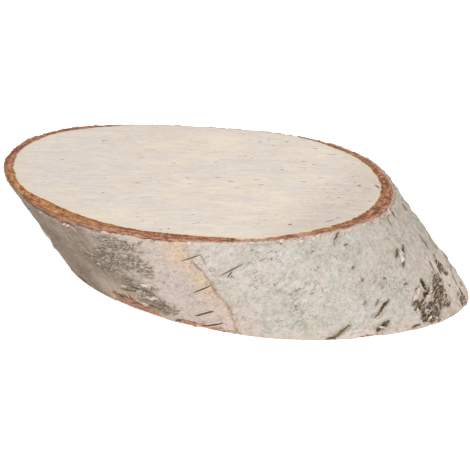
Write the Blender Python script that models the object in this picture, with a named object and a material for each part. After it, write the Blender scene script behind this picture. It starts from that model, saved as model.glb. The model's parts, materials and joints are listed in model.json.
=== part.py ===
"""Birch wood slice: a slab sawn aslant from a birch branch, with its bark still on.

Metres, +Z up. The slab lies on its flat sawn underside. Its longest way is along X, because the branch
leans towards -X as it goes up: two level saw cuts across a leaning round branch leave a long oval slab
whose bark wall is slanted, overhanging at the -X end and running out under it at the +X end.
The origin is under the middle of the slab, on the surface that it rests on.
"""

import math
import random

import bpy
from mathutils import Vector, noise

# Driving dimensions
SLICE_THICKNESS = 0.030
LOG_RADIUS = 0.0522
LOG_LEAN = math.radians(42.0)
BARK_THICKNESS = 0.0028
SAWN_EDGE_BEVEL = 0.0003

# The soft bark ends a little short of the sawn wood, on both faces.
BARK_STEP = 0.0004
BARK_STEP_SLOPE = 0.0003

# The branch isn't quite round: waves per turn, height as a share of the radius, and phase of the crests.
OUTLINE_WAVES = (
    (2, 0.0015, math.radians(140)),
    (3, 0.0154, math.radians(162)),
    (4, 0.0122, math.radians(-55)),
    (5, 0.0083, math.radians(-8)),
    (6, 0.0028, math.radians(73)),
)

# What the radius gains from the underside to the top, in the same form.
FLARE_WAVES = (
    (0, 0.0112, 0.0),
    (1, 0.0035, math.radians(-54)),
    (2, 0.0186, math.radians(148)),
    (3, 0.0305, math.radians(103)),
    (4, 0.0180, math.radians(-119)),
)

# Mesh cells: most birch marks run round the branch, so the rows are closer than the columns.
COLUMNS = 168
WALL_ROWS = 22

# The marks on the bark follow level lines that dip round the branch by this much, towards this side.
MARK_DIP = 0.025
MARK_DIP_SIDE = math.radians(40)

# Slow swells of the bark
SWELL_HEIGHT = 0.00035
SWELL_LENGTH = 0.016

# A strip where the outermost papery layers have peeled away
PEEL_START = math.radians(-97)
PEEL_END = math.radians(-76.5)
PEEL_DEPTH = 0.00045

# Crusts of dark, cracked bark: side of the branch, height, half length round, half length up, rise
CRUSTS = (
    (math.radians(-100), 0.021, 0.0085, 0.0150, 0.0009),
    (math.radians(-9), 0.005, 0.0130, 0.0062, 0.0010),
    (math.radians(84), 0.019, 0.0090, 0.0070, 0.0008),
    (math.radians(112), 0.010, 0.0120, 0.0080, 0.0009),
    (math.radians(168), 0.019, 0.0100, 0.0085, 0.0010),
)
CRUST_PLATE_LENGTH = 0.0045

# The white outer bark is chipped back from both sawn edges, which shows the brown inner bark.
CHIP_DEPTH = 0.0006
CHIP_REACH = 0.0011
CHIP_WAVE_LENGTH = 0.0060
TOP_TEARS = (
    (math.radians(-112), math.radians(16), 0.0024),
    (math.radians(-5), math.radians(12), 0.0014),
    (math.radians(131), math.radians(14), 0.0034),
)
BOTTOM_TEARS = (
    (math.radians(-116), math.radians(7), 0.0036),
    (math.radians(-92), math.radians(6), 0.0026),
    (math.radians(-43), math.radians(4), 0.0022),
    (math.radians(80), math.radians(12), 0.0030),
)

# Lenticels, the short raised lines across birch bark: side of the branch, height, half length
LENTICELS = (
    (math.radians(-75.8), 0.0244, 0.0026),
    (math.radians(-67.2), 0.0214, 0.0035),
    (math.radians(-79.5), 0.0146, 0.0029),
    (math.radians(-85.5), 0.0058, 0.0030),
    (math.radians(-85.8), 0.0026, 0.0031),
    (math.radians(-51.0), 0.0030, 0.0043),
    (math.radians(-32.8), 0.0075, 0.0041),
    (math.radians(-18.0), 0.0082, 0.0036),
    (math.radians(-16.2), 0.0150, 0.0027),
    (math.radians(-10.5), 0.0191, 0.0034),
)
FAR_SIDE_START = math.radians(14)
FAR_SIDE_END = math.radians(222)
FAR_SIDE_LENTICELS = 26
LENTICEL_HALF_LENGTHS = (0.0022, 0.0042)
LENTICEL_HALF_WIDTH = 0.0015
LENTICEL_RISE = 0.0008
LENTICEL_EDGE_MARGIN = 0.0030
RANDOM_SEED = 11

# Colours as (red, green, blue), roughness
CUT_WOOD = ((0.80, 0.72, 0.60), 0.75)
INNER_BARK = ((0.50, 0.25, 0.12), 0.85)
WHITE_BARK = ((0.62, 0.57, 0.50), 0.70)


def turn_between(angle, other):
    """The signed turn from one side of the branch to another, the short way round."""
    return (angle - other + math.pi) % (2 * math.pi) - math.pi


def waves(table, angle):
    """The sum of the waves in a table, as a share of the radius."""
    return sum(height * math.cos(count * angle - crest) for count, height, crest in table)


def branch_radius(angle, height):
    """The branch's radius, square to its own axis, before the bark's relief."""
    share_up = height / SLICE_THICKNESS - 0.5
    return LOG_RADIUS * (1 + waves(OUTLINE_WAVES, angle) + share_up * waves(FLARE_WAVES, angle))


def slab_point(angle, height, radius):
    """The place of a point on the leaning branch, given at its side, its level and its radius."""
    lean_shift = (height - SLICE_THICKNESS / 2) * math.tan(LOG_LEAN)
    return Vector((radius * math.cos(angle) / math.cos(LOG_LEAN) - lean_shift, radius * math.sin(angle), height))


def place_in_branch(angle, height):
    """The same point in the branch's own frame, for patterns that run on all round it."""
    along = height / math.cos(LOG_LEAN) - LOG_RADIUS * math.tan(LOG_LEAN) * math.cos(angle)
    return Vector((LOG_RADIUS * math.cos(angle), LOG_RADIUS * math.sin(angle), along))


def mark_level(angle, height):
    """Points of one level lie on one line across the bark, as lenticels do."""
    return (height - MARK_DIP * math.cos(angle - MARK_DIP_SIDE)) / math.cos(LOG_LEAN)


def chip_edge(angle, tears, phase):
    """How far the white bark is chipped back from a sawn edge."""
    spot = Vector((LOG_RADIUS * math.cos(angle), LOG_RADIUS * math.sin(angle), phase))
    reach = CHIP_REACH * max(0.0, 0.6 + noise.noise(spot / CHIP_WAVE_LENGTH))
    for side, half_turn, depth in tears:
        share = turn_between(angle, side) / half_turn
        if abs(share) < 1:
            reach = max(reach, depth * (1 - share ** 2) * (1 + 0.5 * noise.noise(spot / CHIP_WAVE_LENGTH * 2)))
    return reach


def is_chipped(angle, height):
    """True where the white outer bark is gone and the inner bark shows."""
    from_top = SLICE_THICKNESS - height
    return from_top < chip_edge(angle, TOP_TEARS, 0.0) or height < chip_edge(angle, BOTTOM_TEARS, 1.0)


def crust_rise(angle, height):
    """The raised, cracked plates of the dark crusts."""
    rise = 0.0
    for side, level, half_round, half_up, top in CRUSTS:
        across = LOG_RADIUS * turn_between(angle, side) / half_round
        up = (height - level) / half_up
        inside = 1 - across ** 2 - up ** 2
        if inside > 0:
            plates = abs(noise.noise(place_in_branch(angle, height) / CRUST_PLATE_LENGTH))
            rise = max(rise, top * min(1.0, 2 * inside) * (0.25 + 1.6 * plates))
    return rise


def lenticel_rise(angle, height, lenticels):
    """The low ridge of any lenticel that crosses this point."""
    rise = 0.0
    for side, level, half_length in lenticels:
        across = LOG_RADIUS * turn_between(angle, side) / half_length
        up = (mark_level(angle, height) - mark_level(side, level)) / LENTICEL_HALF_WIDTH
        if abs(across) < 1 and abs(up) < 1:
            rise = max(rise, LENTICEL_RISE * (1 - across ** 2) * (1 - up ** 2))
    return rise


def bark_relief(angle, height, lenticels):
    """How far the bark stands out from the plain branch at one point."""
    relief = SWELL_HEIGHT * noise.noise(place_in_branch(angle, height) / SWELL_LENGTH)
    if is_chipped(angle, height):
        return relief - CHIP_DEPTH
    if PEEL_START < turn_between(angle, 0.0) < PEEL_END:
        relief -= PEEL_DEPTH
    return relief + crust_rise(angle, height) + lenticel_rise(angle, height, lenticels)


def all_lenticels():
    """The lenticels placed by hand, and those scattered over the far side of the branch."""
    rng = random.Random(RANDOM_SEED)
    lenticels = list(LENTICELS)
    for number in range(FAR_SIDE_LENTICELS):
        share = (number + rng.uniform(0.1, 0.9)) / FAR_SIDE_LENTICELS
        side = FAR_SIDE_START + share * (FAR_SIDE_END - FAR_SIDE_START)
        level = rng.uniform(LENTICEL_EDGE_MARGIN, SLICE_THICKNESS - LENTICEL_EDGE_MARGIN)
        lenticels.append((side, level, rng.uniform(*LENTICEL_HALF_LENGTHS)))
    return lenticels


def ring_of_points(height, inset, lenticels):
    """One ring round the slab at a level, drawn in by the inset from the bark's surface."""
    ring = []
    for column in range(COLUMNS):
        angle = 2 * math.pi * column / COLUMNS
        radius = branch_radius(angle, height) - inset
        if inset <= SAWN_EDGE_BEVEL:
            radius += bark_relief(angle, height, lenticels)
        ring.append(slab_point(angle, height, radius))
    return ring


def material(name, finish):
    """A plain material of one colour and roughness."""
    colour, roughness = finish
    made = bpy.data.materials.new(name)
    made.use_nodes = True
    shader = made.node_tree.nodes["Principled BSDF"]
    shader.inputs["Base Color"].default_value = (*colour, 1.0)
    shader.inputs["Roughness"].default_value = roughness
    shader.inputs["Metallic"].default_value = 0.0
    return made


def centred(rings):
    """The rings moved level, so that the slab's box is centred over the origin."""
    across = [point.x for ring in rings for point in ring]
    deep = [point.y for ring in rings for point in ring]
    middle = Vector(((min(across) + max(across)) / 2, (min(deep) + max(deep)) / 2, 0.0))
    return [[point - middle for point in ring] for ring in rings]


def make_slice():
    """The whole slab as one closed body: both sawn faces, the rims of inner bark and the bark wall."""
    lenticels = all_lenticels()
    wall_bottom = BARK_STEP + SAWN_EDGE_BEVEL
    wall_height = SLICE_THICKNESS - 2 * wall_bottom
    wall_levels = [wall_bottom + wall_height * row / WALL_ROWS for row in range(WALL_ROWS + 1)]
    rim_insets = (BARK_THICKNESS, BARK_THICKNESS - BARK_STEP_SLOPE, SAWN_EDGE_BEVEL)
    rim_levels = (0.0, BARK_STEP, BARK_STEP)
    rings = [ring_of_points(level, inset, lenticels) for level, inset in zip(rim_levels, rim_insets)]
    rings += [ring_of_points(level, 0.0, lenticels) for level in wall_levels]
    for level, inset in zip(reversed(rim_levels), reversed(rim_insets)):
        rings.append(ring_of_points(SLICE_THICKNESS - level, inset, lenticels))
    rings = centred(rings)
    first_wall_ring = len(rim_insets)

    faces = [tuple(reversed(range(COLUMNS)))]
    slots = [0]
    for lower in range(len(rings) - 1):
        on_wall = first_wall_ring <= lower < first_wall_ring + WALL_ROWS
        for column in range(COLUMNS):
            following = (column + 1) % COLUMNS
            start = lower * COLUMNS
            above = start + COLUMNS
            faces.append((start + column, start + following, above + following, above + column))
            angle = 2 * math.pi * (column + 0.5) / COLUMNS
            level = wall_bottom + wall_height * (lower - first_wall_ring + 0.5) / WALL_ROWS
            slots.append(2 if on_wall and not is_chipped(angle, level) else 1)
    faces.append(tuple(range((len(rings) - 1) * COLUMNS, len(rings) * COLUMNS)))
    slots.append(0)

    mesh = bpy.data.meshes.new("birch_slice")
    mesh.from_pydata([point for ring in rings for point in ring], [], faces)
    mesh.materials.append(material("cut_wood", CUT_WOOD))
    mesh.materials.append(material("inner_bark", INNER_BARK))
    mesh.materials.append(material("white_bark", WHITE_BARK))
    for face, slot in zip(mesh.polygons, slots):
        face.material_index = slot
    mesh.shade_smooth()
    mesh.set_sharp_from_angle(angle=math.radians(40))
    mesh.validate()
    birch_slice = bpy.data.objects.new("birch_slice", mesh)
    bpy.context.scene.collection.objects.link(birch_slice)
    return birch_slice


def main():
    for old in list(bpy.data.objects):
        bpy.data.objects.remove(old, do_unlink=True)
    birch_slice = make_slice()
    width, depth, height = (1000 * side for side in birch_slice.dimensions)
    print(f"birch slice {width:.1f} x {depth:.1f} x {height:.1f} mm, {len(birch_slice.data.polygons)} faces")


main()
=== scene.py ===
# %% [markdown]
# # A slice of birch, sawn aslant from a branch
# The slab is one grown thing, but the eye reads three skins on it: pale sawn wood, a brown rim of inner
# bark, and papery white outer bark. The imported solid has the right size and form, and stays the frame
# for everything here. Each skin is made again as a fine closed piece that keeps that form, and then
# the small things are laid on it: lenticels, cracked crusts, flakes of paper bark, and flecks on the wood.

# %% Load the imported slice
import itertools
import json
import math

import bmesh
import bpy
import numpy as np
from mathutils import Euler, Matrix, Vector

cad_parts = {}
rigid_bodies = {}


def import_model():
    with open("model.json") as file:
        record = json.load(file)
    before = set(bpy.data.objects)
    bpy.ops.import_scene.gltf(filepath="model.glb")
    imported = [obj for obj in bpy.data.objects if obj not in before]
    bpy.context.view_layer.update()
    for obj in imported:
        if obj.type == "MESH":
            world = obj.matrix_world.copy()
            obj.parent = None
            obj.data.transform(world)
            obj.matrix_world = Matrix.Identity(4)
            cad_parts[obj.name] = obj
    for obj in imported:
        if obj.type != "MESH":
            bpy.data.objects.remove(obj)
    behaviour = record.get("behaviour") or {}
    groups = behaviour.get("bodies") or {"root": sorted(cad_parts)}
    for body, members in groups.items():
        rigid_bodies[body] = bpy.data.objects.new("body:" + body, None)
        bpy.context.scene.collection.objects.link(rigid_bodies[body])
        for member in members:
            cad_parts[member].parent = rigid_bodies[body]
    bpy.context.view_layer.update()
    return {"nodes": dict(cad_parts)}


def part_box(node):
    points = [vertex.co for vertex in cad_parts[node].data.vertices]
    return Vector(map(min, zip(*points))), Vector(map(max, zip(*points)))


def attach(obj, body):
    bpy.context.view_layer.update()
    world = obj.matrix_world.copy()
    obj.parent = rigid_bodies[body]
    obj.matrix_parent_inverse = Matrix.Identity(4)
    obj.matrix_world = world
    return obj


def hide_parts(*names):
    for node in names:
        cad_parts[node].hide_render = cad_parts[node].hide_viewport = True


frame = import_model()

low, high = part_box("birch_slice")
THICKNESS = high.z - low.z
MM = 0.001
print("slab in mm:", [round(side / MM, 1) for side in high - low])

# %% [markdown]
# ## The camera
# The slab is seen from a little above, turned so that its long way runs down to the right. A long lens
# from under a metre away gives the photograph's nearly parallel edges. The camera comes first, so that
# each later step can be looked at as soon as it is made.

# %% Camera
VIEW_AZIMUTH = math.radians(24.0)
VIEW_ELEVATION = math.radians(22.5)
VIEW_DISTANCE = 0.8555
LENS_MM = 191.5
SENSOR_MM = 36.0
AIM_RIGHT = 1.2 * MM
AIM_UP = 10.4 * MM


def view_axes():
    """The camera's right, up and backward directions."""
    right = Vector((math.cos(VIEW_AZIMUTH), math.sin(VIEW_AZIMUTH), 0.0))
    flat_back = Vector((math.sin(VIEW_AZIMUTH), -math.cos(VIEW_AZIMUTH), 0.0))
    back = flat_back * math.cos(VIEW_ELEVATION) + Vector((0.0, 0.0, math.sin(VIEW_ELEVATION)))
    return right, back.cross(right), back


def make_camera(branch_middle):
    """A camera that looks at a point a little above the middle of the slab's underside."""
    right, up, back = view_axes()
    lens = bpy.data.cameras.new("photo_view")
    lens.sensor_width = SENSOR_MM
    lens.lens = LENS_MM
    camera = bpy.data.objects.new("photo_view", lens)
    camera.location = branch_middle + right * AIM_RIGHT + up * AIM_UP + back * VIEW_DISTANCE
    camera.rotation_euler = (-back).to_track_quat("-Z", "Y").to_euler()
    bpy.context.scene.collection.objects.link(camera)
    bpy.context.scene.camera = camera
    return camera


# %% [markdown]
# ## The branch that the slab was sawn from
# The bark wall is a piece of a leaning, slightly lumpy branch. Its form could be typed in again, but it
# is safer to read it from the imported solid: the wall's points are turned into an angle round the branch,
# a radius and a height, and a short sum of waves is fitted to them. The waves leave out the solid's
# coarse relief, so fine relief can be laid on the smooth form afterwards.

# %% Read the branch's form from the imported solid
LEAN = math.radians(42.0)
RIM_MARGIN = 1.5 * MM
FORM_WAVES = 6
FLARE_WAVES = 4
FIT_ROUNDS = 8
OUTLIER = 0.45 * MM


def branch_place(points, centre):
    """Angle round the branch and radius square to its axis, for points of the slab."""
    shift = (points[:, 2] - THICKNESS / 2) * math.tan(LEAN)
    x = (points[:, 0] - centre[0] + shift) * math.cos(LEAN)
    y = points[:, 1] - centre[1]
    return np.arctan2(y, x), np.hypot(x, y)


def wave_columns(angle, height):
    """One column for each wave of the form, and for how it changes from the underside to the top."""
    share = height / THICKNESS - 0.5
    columns = [np.ones_like(angle), share]
    columns += [turn(k * angle) for k in range(1, FORM_WAVES + 1) for turn in (np.cos, np.sin)]
    columns += [share * turn(k * angle) for k in range(1, FLARE_WAVES + 1) for turn in (np.cos, np.sin)]
    return np.stack(columns, axis=-1)


def fit_branch(points):
    """The branch's centre at half height, and the waves of its radius."""
    centre = np.zeros(2)
    keep = np.ones(len(points), bool)
    for _ in range(FIT_ROUNDS):
        angle, radius = branch_place(points, centre)
        columns = wave_columns(angle, points[:, 2])
        waves = np.linalg.lstsq(columns[keep], radius[keep], rcond=None)[0]
        keep = np.abs(columns @ waves - radius) < OUTLIER
        centre += (waves[2] / math.cos(LEAN), waves[3])
    return centre, waves


solid_points = np.array([vertex.co for vertex in frame["nodes"]["birch_slice"].data.vertices])
on_wall = (solid_points[:, 2] > RIM_MARGIN) & (solid_points[:, 2] < THICKNESS - RIM_MARGIN)
CENTRE, WAVES = fit_branch(np.unique(solid_points[on_wall].round(7), axis=0))
LOG_RADIUS = WAVES[0]
print("branch radius in mm:", round(LOG_RADIUS / MM, 2), "centre in mm:", (CENTRE / MM).round(2))
make_camera(Vector((CENTRE[0], CENTRE[1], 0.0)))

# %% [markdown]
# ## Helpers: places on the slab, and noise
# Every piece is laid out by angle round the branch and height. The marks on birch bark run round the
# branch, so relief and colour use coordinates turned that way, where a pattern can be stretched along
# the marks. The noise is ordinary gradient noise on numpy arrays, which is fast on a fine mesh and
# has no seam, because it is read at points in space.

# %% Places on the slab
MARK_UP = Vector((-0.318, -0.357, 0.878)).normalized()
MARK_TURN = Vector((0.0, 0.0, 1.0)).rotation_difference(MARK_UP).to_matrix()


def branch_radius(angle, height):
    """The smooth radius of the bark's outside."""
    return wave_columns(angle, height) @ WAVES


def slab_points(angle, height, radius):
    """Points of the slab from their angle, height and radius, as an array that ends in x, y, z."""
    shift = (height - THICKNESS / 2) * math.tan(LEAN)
    x = CENTRE[0] + radius * np.cos(angle) / math.cos(LEAN) - shift
    y = CENTRE[1] + radius * np.sin(angle)
    return np.stack([x, y, height + 0 * x], axis=-1)


def along_marks(points, round_mm, up_mm):
    """Points for noise that is stretched along the marks on the bark."""
    turned = points @ np.array(MARK_TURN)
    return turned / (round_mm * MM, round_mm * MM, up_mm * MM)


def turn_between(angle, side):
    """The signed turn from a side of the branch, the short way round."""
    return (angle - side + np.pi) % (2 * np.pi) - np.pi


def smooth(low_edge, high_edge, value):
    """0 below the low edge, 1 above the high edge, and an easy curve between."""
    share = np.clip((value - low_edge) / (high_edge - low_edge), 0, 1)
    return share * share * (3 - 2 * share)


# %% Noise
random_numbers = np.random.default_rng(5)
SLOPES = random_numbers.normal(size=(256, 3))
SLOPES /= np.linalg.norm(SLOPES, axis=1, keepdims=True)
SHUFFLE = random_numbers.permutation(256)
NOISE_GAIN = 1.6


def noise(points, seed=0):
    """Smooth gradient noise, from about -1 to 1, for an array of points."""
    flat = points.reshape(-1, 3)
    cell = np.floor(flat).astype(int)
    inside = flat - cell
    fade = inside ** 3 * (inside * (inside * 6 - 15) + 10)
    total = np.zeros(len(flat))
    for corner in itertools.product((0, 1), repeat=3):
        at = cell + corner
        pick = SHUFFLE[(at[:, 0] + seed) % 256]
        pick = SHUFFLE[(pick + at[:, 1]) % 256]
        pick = SHUFFLE[(pick + at[:, 2]) % 256]
        weight = np.prod(np.where(corner, fade, 1 - fade), axis=1)
        total += weight * (SLOPES[pick] * (inside - corner)).sum(axis=1)
    return NOISE_GAIN * total.reshape(points.shape[:-1])


def fractal(points, octaves, seed=0):
    """Noise with finer noise added, each time half as large and half as strong."""
    return sum(noise(points * 2 ** octave, seed + 7 * octave) / 2 ** octave for octave in range(octaves))


# %% [markdown]
# ## Helpers: closed sleeves and smooth meshes
# The bark skins are sleeves: a loop of rows goes up the outside, over the rim and down the inside, and
# closes on itself. A sleeve gets a UV map of straight strips, stacked so that a square picture is well
# filled when the materials are baked. Masks worked out for each point become attributes for materials.

# %% Meshes
STRIPS = 3
STRIP_GAP = 1.5 * MM


def finished(name, mesh, material):
    """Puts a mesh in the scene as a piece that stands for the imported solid."""
    mesh.materials.clear()
    mesh.materials.append(material)
    mesh.shade_smooth()
    piece = bpy.data.objects.new(name, mesh)
    bpy.context.scene.collection.objects.link(piece)
    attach(piece, "root")
    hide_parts("birch_slice")
    triangles = sum(len(face.vertices) - 2 for face in mesh.polygons)
    print(name, triangles, "triangles")
    return piece


def set_uv(mesh, u, v):
    """Fills the UV map from one value a face corner, scaled to fit the unit square."""
    layer = mesh.uv_layers.new(name="OFBake")
    scale = 0.98 / max(u.max() - u.min(), v.max() - v.min())
    flat = np.stack([0.01 + (u - u.min()) * scale, 0.01 + (v - v.min()) * scale], axis=-1)
    layer.data.foreach_set("uv", flat.astype(np.float32).ravel())


def set_masks(mesh, masks):
    """Stores arrays with one value a point as attributes, for the materials."""
    for name, values in masks.items():
        attribute = mesh.attributes.new(name, "FLOAT", "POINT")
        attribute.data.foreach_set("value", np.asarray(values, np.float32).ravel())


def sleeve(name, rows, masks):
    """A closed sleeve round the branch from an array of rows, columns and x, y, z."""
    count, columns = rows.shape[:2]
    row, column = np.meshgrid(np.arange(count), np.arange(columns), indexing="ij")
    next_row, next_column = (row + 1) % count, (column + 1) % columns
    corners = [(row, column), (row, next_column), (next_row, next_column), (next_row, column)]
    faces = np.stack([a * columns + b for a, b in corners], axis=-1).reshape(-1, 4)
    mesh = bpy.data.meshes.new(name)
    mesh.from_pydata(rows.reshape(-1, 3).tolist(), [], faces.tolist())
    steps = np.linalg.norm(np.roll(rows, -1, axis=0) - rows, axis=-1).mean(axis=1)
    along = np.concatenate([[0.0], np.cumsum(steps)])
    per_strip = math.ceil(columns / STRIPS)
    strip = column // per_strip
    cell = 2 * math.pi * LOG_RADIUS / columns
    left = (column - strip * per_strip) * cell
    base = strip * (along[-1] + STRIP_GAP)
    u = np.stack([left, left + cell, left + cell, left], axis=-1)
    start, end = base + along[row], base + along[row + 1]
    v = np.stack([start, start, end, end], axis=-1)
    set_uv(mesh, u.ravel(), v.ravel())
    set_masks(mesh, masks)
    return mesh


# %% [markdown]
# ## Where the bark differs
# Birch bark isn't the same all round. These are the places on this slab, by angle round the branch in
# degrees and by height in millimetres: torn edges, a peeled strip, dark crusts and tinted zones. The
# ones on the far side aren't seen in the photograph and are chosen to be like the near ones.

# %% Places of tears, crusts and tints
BARK_WIDTH = 2.8
BACK_THINNING = 1.9
FRONT_LEFT_SWELL = 1.6
# Each swell of the rim: side, spread in degrees, how much wider in millimetres
RIM_SWELLS = ((-114, 14, 0.9), (2, 24, 0.8), (-52, 7, -0.9))
TOP_WEAR, BOTTOM_WEAR, LEAST_WEAR = 0.28, 0.12, 0.05
# Each tear: side, half its turn in degrees, depth in millimetres
TOP_TEARS = ((-114, 20, 2.3), (-96, 28, 1.1), (-5, 12, 0.7), (131, 14, 3.4), (178, 8, 1.4))
BOTTOM_TEARS = (
    (-112, 10, 4.6), (-92, 5, 2.0), (-84, 5, 0.9), (-43, 4, 1.0), (80, 12, 2.8), (150, 7, 1.6),
)
# Each crust: side, height, half length round the branch, half length up
CRUSTS = (
    (-96, 25, 6.5, 4.0), (-95, 19, 4.0, 4.5), (-109, 16, 6.0, 3.6), (-102, 10.5, 5.5, 4.5),
    (-100, 5.5, 5.5, 2.6), (-103, 19, 5.0, 4.0), (-18, 3.8, 4.2, 3.4), (-8, 6.8, 3.6, 3.2),
    (-4, 9.0, 2.6, 2.2), (4.5, 11, 2.2, 2.6), (1.5, 2.0, 1.4, 2.4), (84, 19, 9.0, 7.0),
    (112, 10, 12.0, 8.0), (168, 19, 10.0, 8.5),
)
# The upright edge of the peeled strip: side and height of each bend
PEEL_EDGE = (
    (-74.5, 30.0), (-75.5, 26.0), (-76.5, 23.0), (-75.5, 18.2), (-77.0, 12.2), (-76.0, 10.8),
    (-77.0, 7.7), (-80.5, 0.0),
)
PEEL_FADE = (-99.0, -88.0)
PEEL_DEPTH = 0.28


def spot_distance(angle, height, side, level, half_round, half_up):
    """0 in the middle of an oval place on the bark and 1 on its edge."""
    across = LOG_RADIUS / MM * turn_between(angle, math.radians(side)) / half_round
    return np.sqrt(across ** 2 + ((height / MM - level) / half_up) ** 2)


def crust_mask(angle, height, points):
    """1 where the bark is dark and cracked, with a broken edge."""
    closeness = np.full_like(angle, -0.22)
    for side, level, half_round, half_up in CRUSTS:
        distance = spot_distance(angle, height, side, level, half_round, half_up)
        closeness = np.maximum(closeness, 1.25 - distance)
    return smooth(0.0, 0.75, closeness + 0.45 * fractal(along_marks(points, 4.0, 1.6), 3, seed=21))


def round_branch(angle, third=0.0):
    """Points on a plain round branch in millimetres, for noise that runs round it."""
    radius = LOG_RADIUS / MM
    return np.stack([radius * np.cos(angle), radius * np.sin(angle), third + 0 * angle], axis=-1)


def degrees_off(angle, side):
    """How many degrees an angle is away from a side of the branch."""
    return np.abs(np.degrees(turn_between(angle, math.radians(side))))


def tear_reach(angle, tears, seed, usual):
    """How far the outer bark is torn back from a sawn edge, in metres."""
    ring = round_branch(angle, LOG_RADIUS / MM * seed)
    reach = 1 + 0.8 * noise(ring / 3.1, seed) + 0.8 * noise(ring / 1.1, seed + 1)
    reach = usual * (reach + 0.6 * noise(ring / 0.45, seed + 2))
    ragged = 1 + 0.5 * noise(ring / 2.6, seed + 3) + 0.35 * noise(ring / 0.9, seed + 4)
    for side, half_turn, depth in tears:
        share = degrees_off(angle, side) / half_turn
        reach = np.maximum(reach, depth * np.clip(1 - share ** 2, 0, 1) ** 0.7 * ragged)
    return np.maximum(reach, LEAST_WEAR) * MM


def rim_width(angle):
    """The width of the brown rim, square to the bark: it is thin along the middle of the back."""
    thin = smooth(41, 20, degrees_off(angle, 102))
    width = BARK_WIDTH - BACK_THINNING * thin + FRONT_LEFT_SWELL * smooth(44, 22, degrees_off(angle, -98))
    for side, spread, more in RIM_SWELLS:
        width += more * np.exp(-(degrees_off(angle, side) / spread) ** 2)
    ring = round_branch(angle)
    ragged = 0.24 * noise(ring / 5.0, 40) + 0.20 * noise(ring / 1.5, 41) + 0.13 * noise(ring / 0.6, 42)
    return (width + ragged * (1 - 0.5 * thin)) * MM


def peel_edge_angle(height):
    """The angle of the upright edge of the peeled strip, at a height."""
    angles, heights = zip(*reversed(PEEL_EDGE))
    return np.radians(np.interp(height / MM, heights, angles))


# %% [markdown]
# ## Lenticels: where they are
# Lenticels are the pores of birch bark: short raised lines across it, dark in the slit and paler on the
# lips. The ones in view are listed by their two ends. The rest are scattered round the far side
# with a fixed seed. The list comes before the bark, because the bark swells a little under each one.

# %% Lenticel places
# Each row: side and height of one end, side and height of the other, and width
LENTICELS_SEEN = (
    (-80.0, 22.9, -71.5, 26.2, 0.85), (-73.0, 18.8, -61.5, 24.0, 0.80),
    (-84.5, 12.3, -75.0, 16.6, 1.00), (-90.3, 4.0, -81.2, 7.5, 1.30), (-90.2, 0.9, -81.4, 3.6, 1.40),
    (-70.4, 18.6, -66.8, 21.4, 0.80), (-42.0, 25.0, -39.6, 26.0, 0.60),
)
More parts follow.
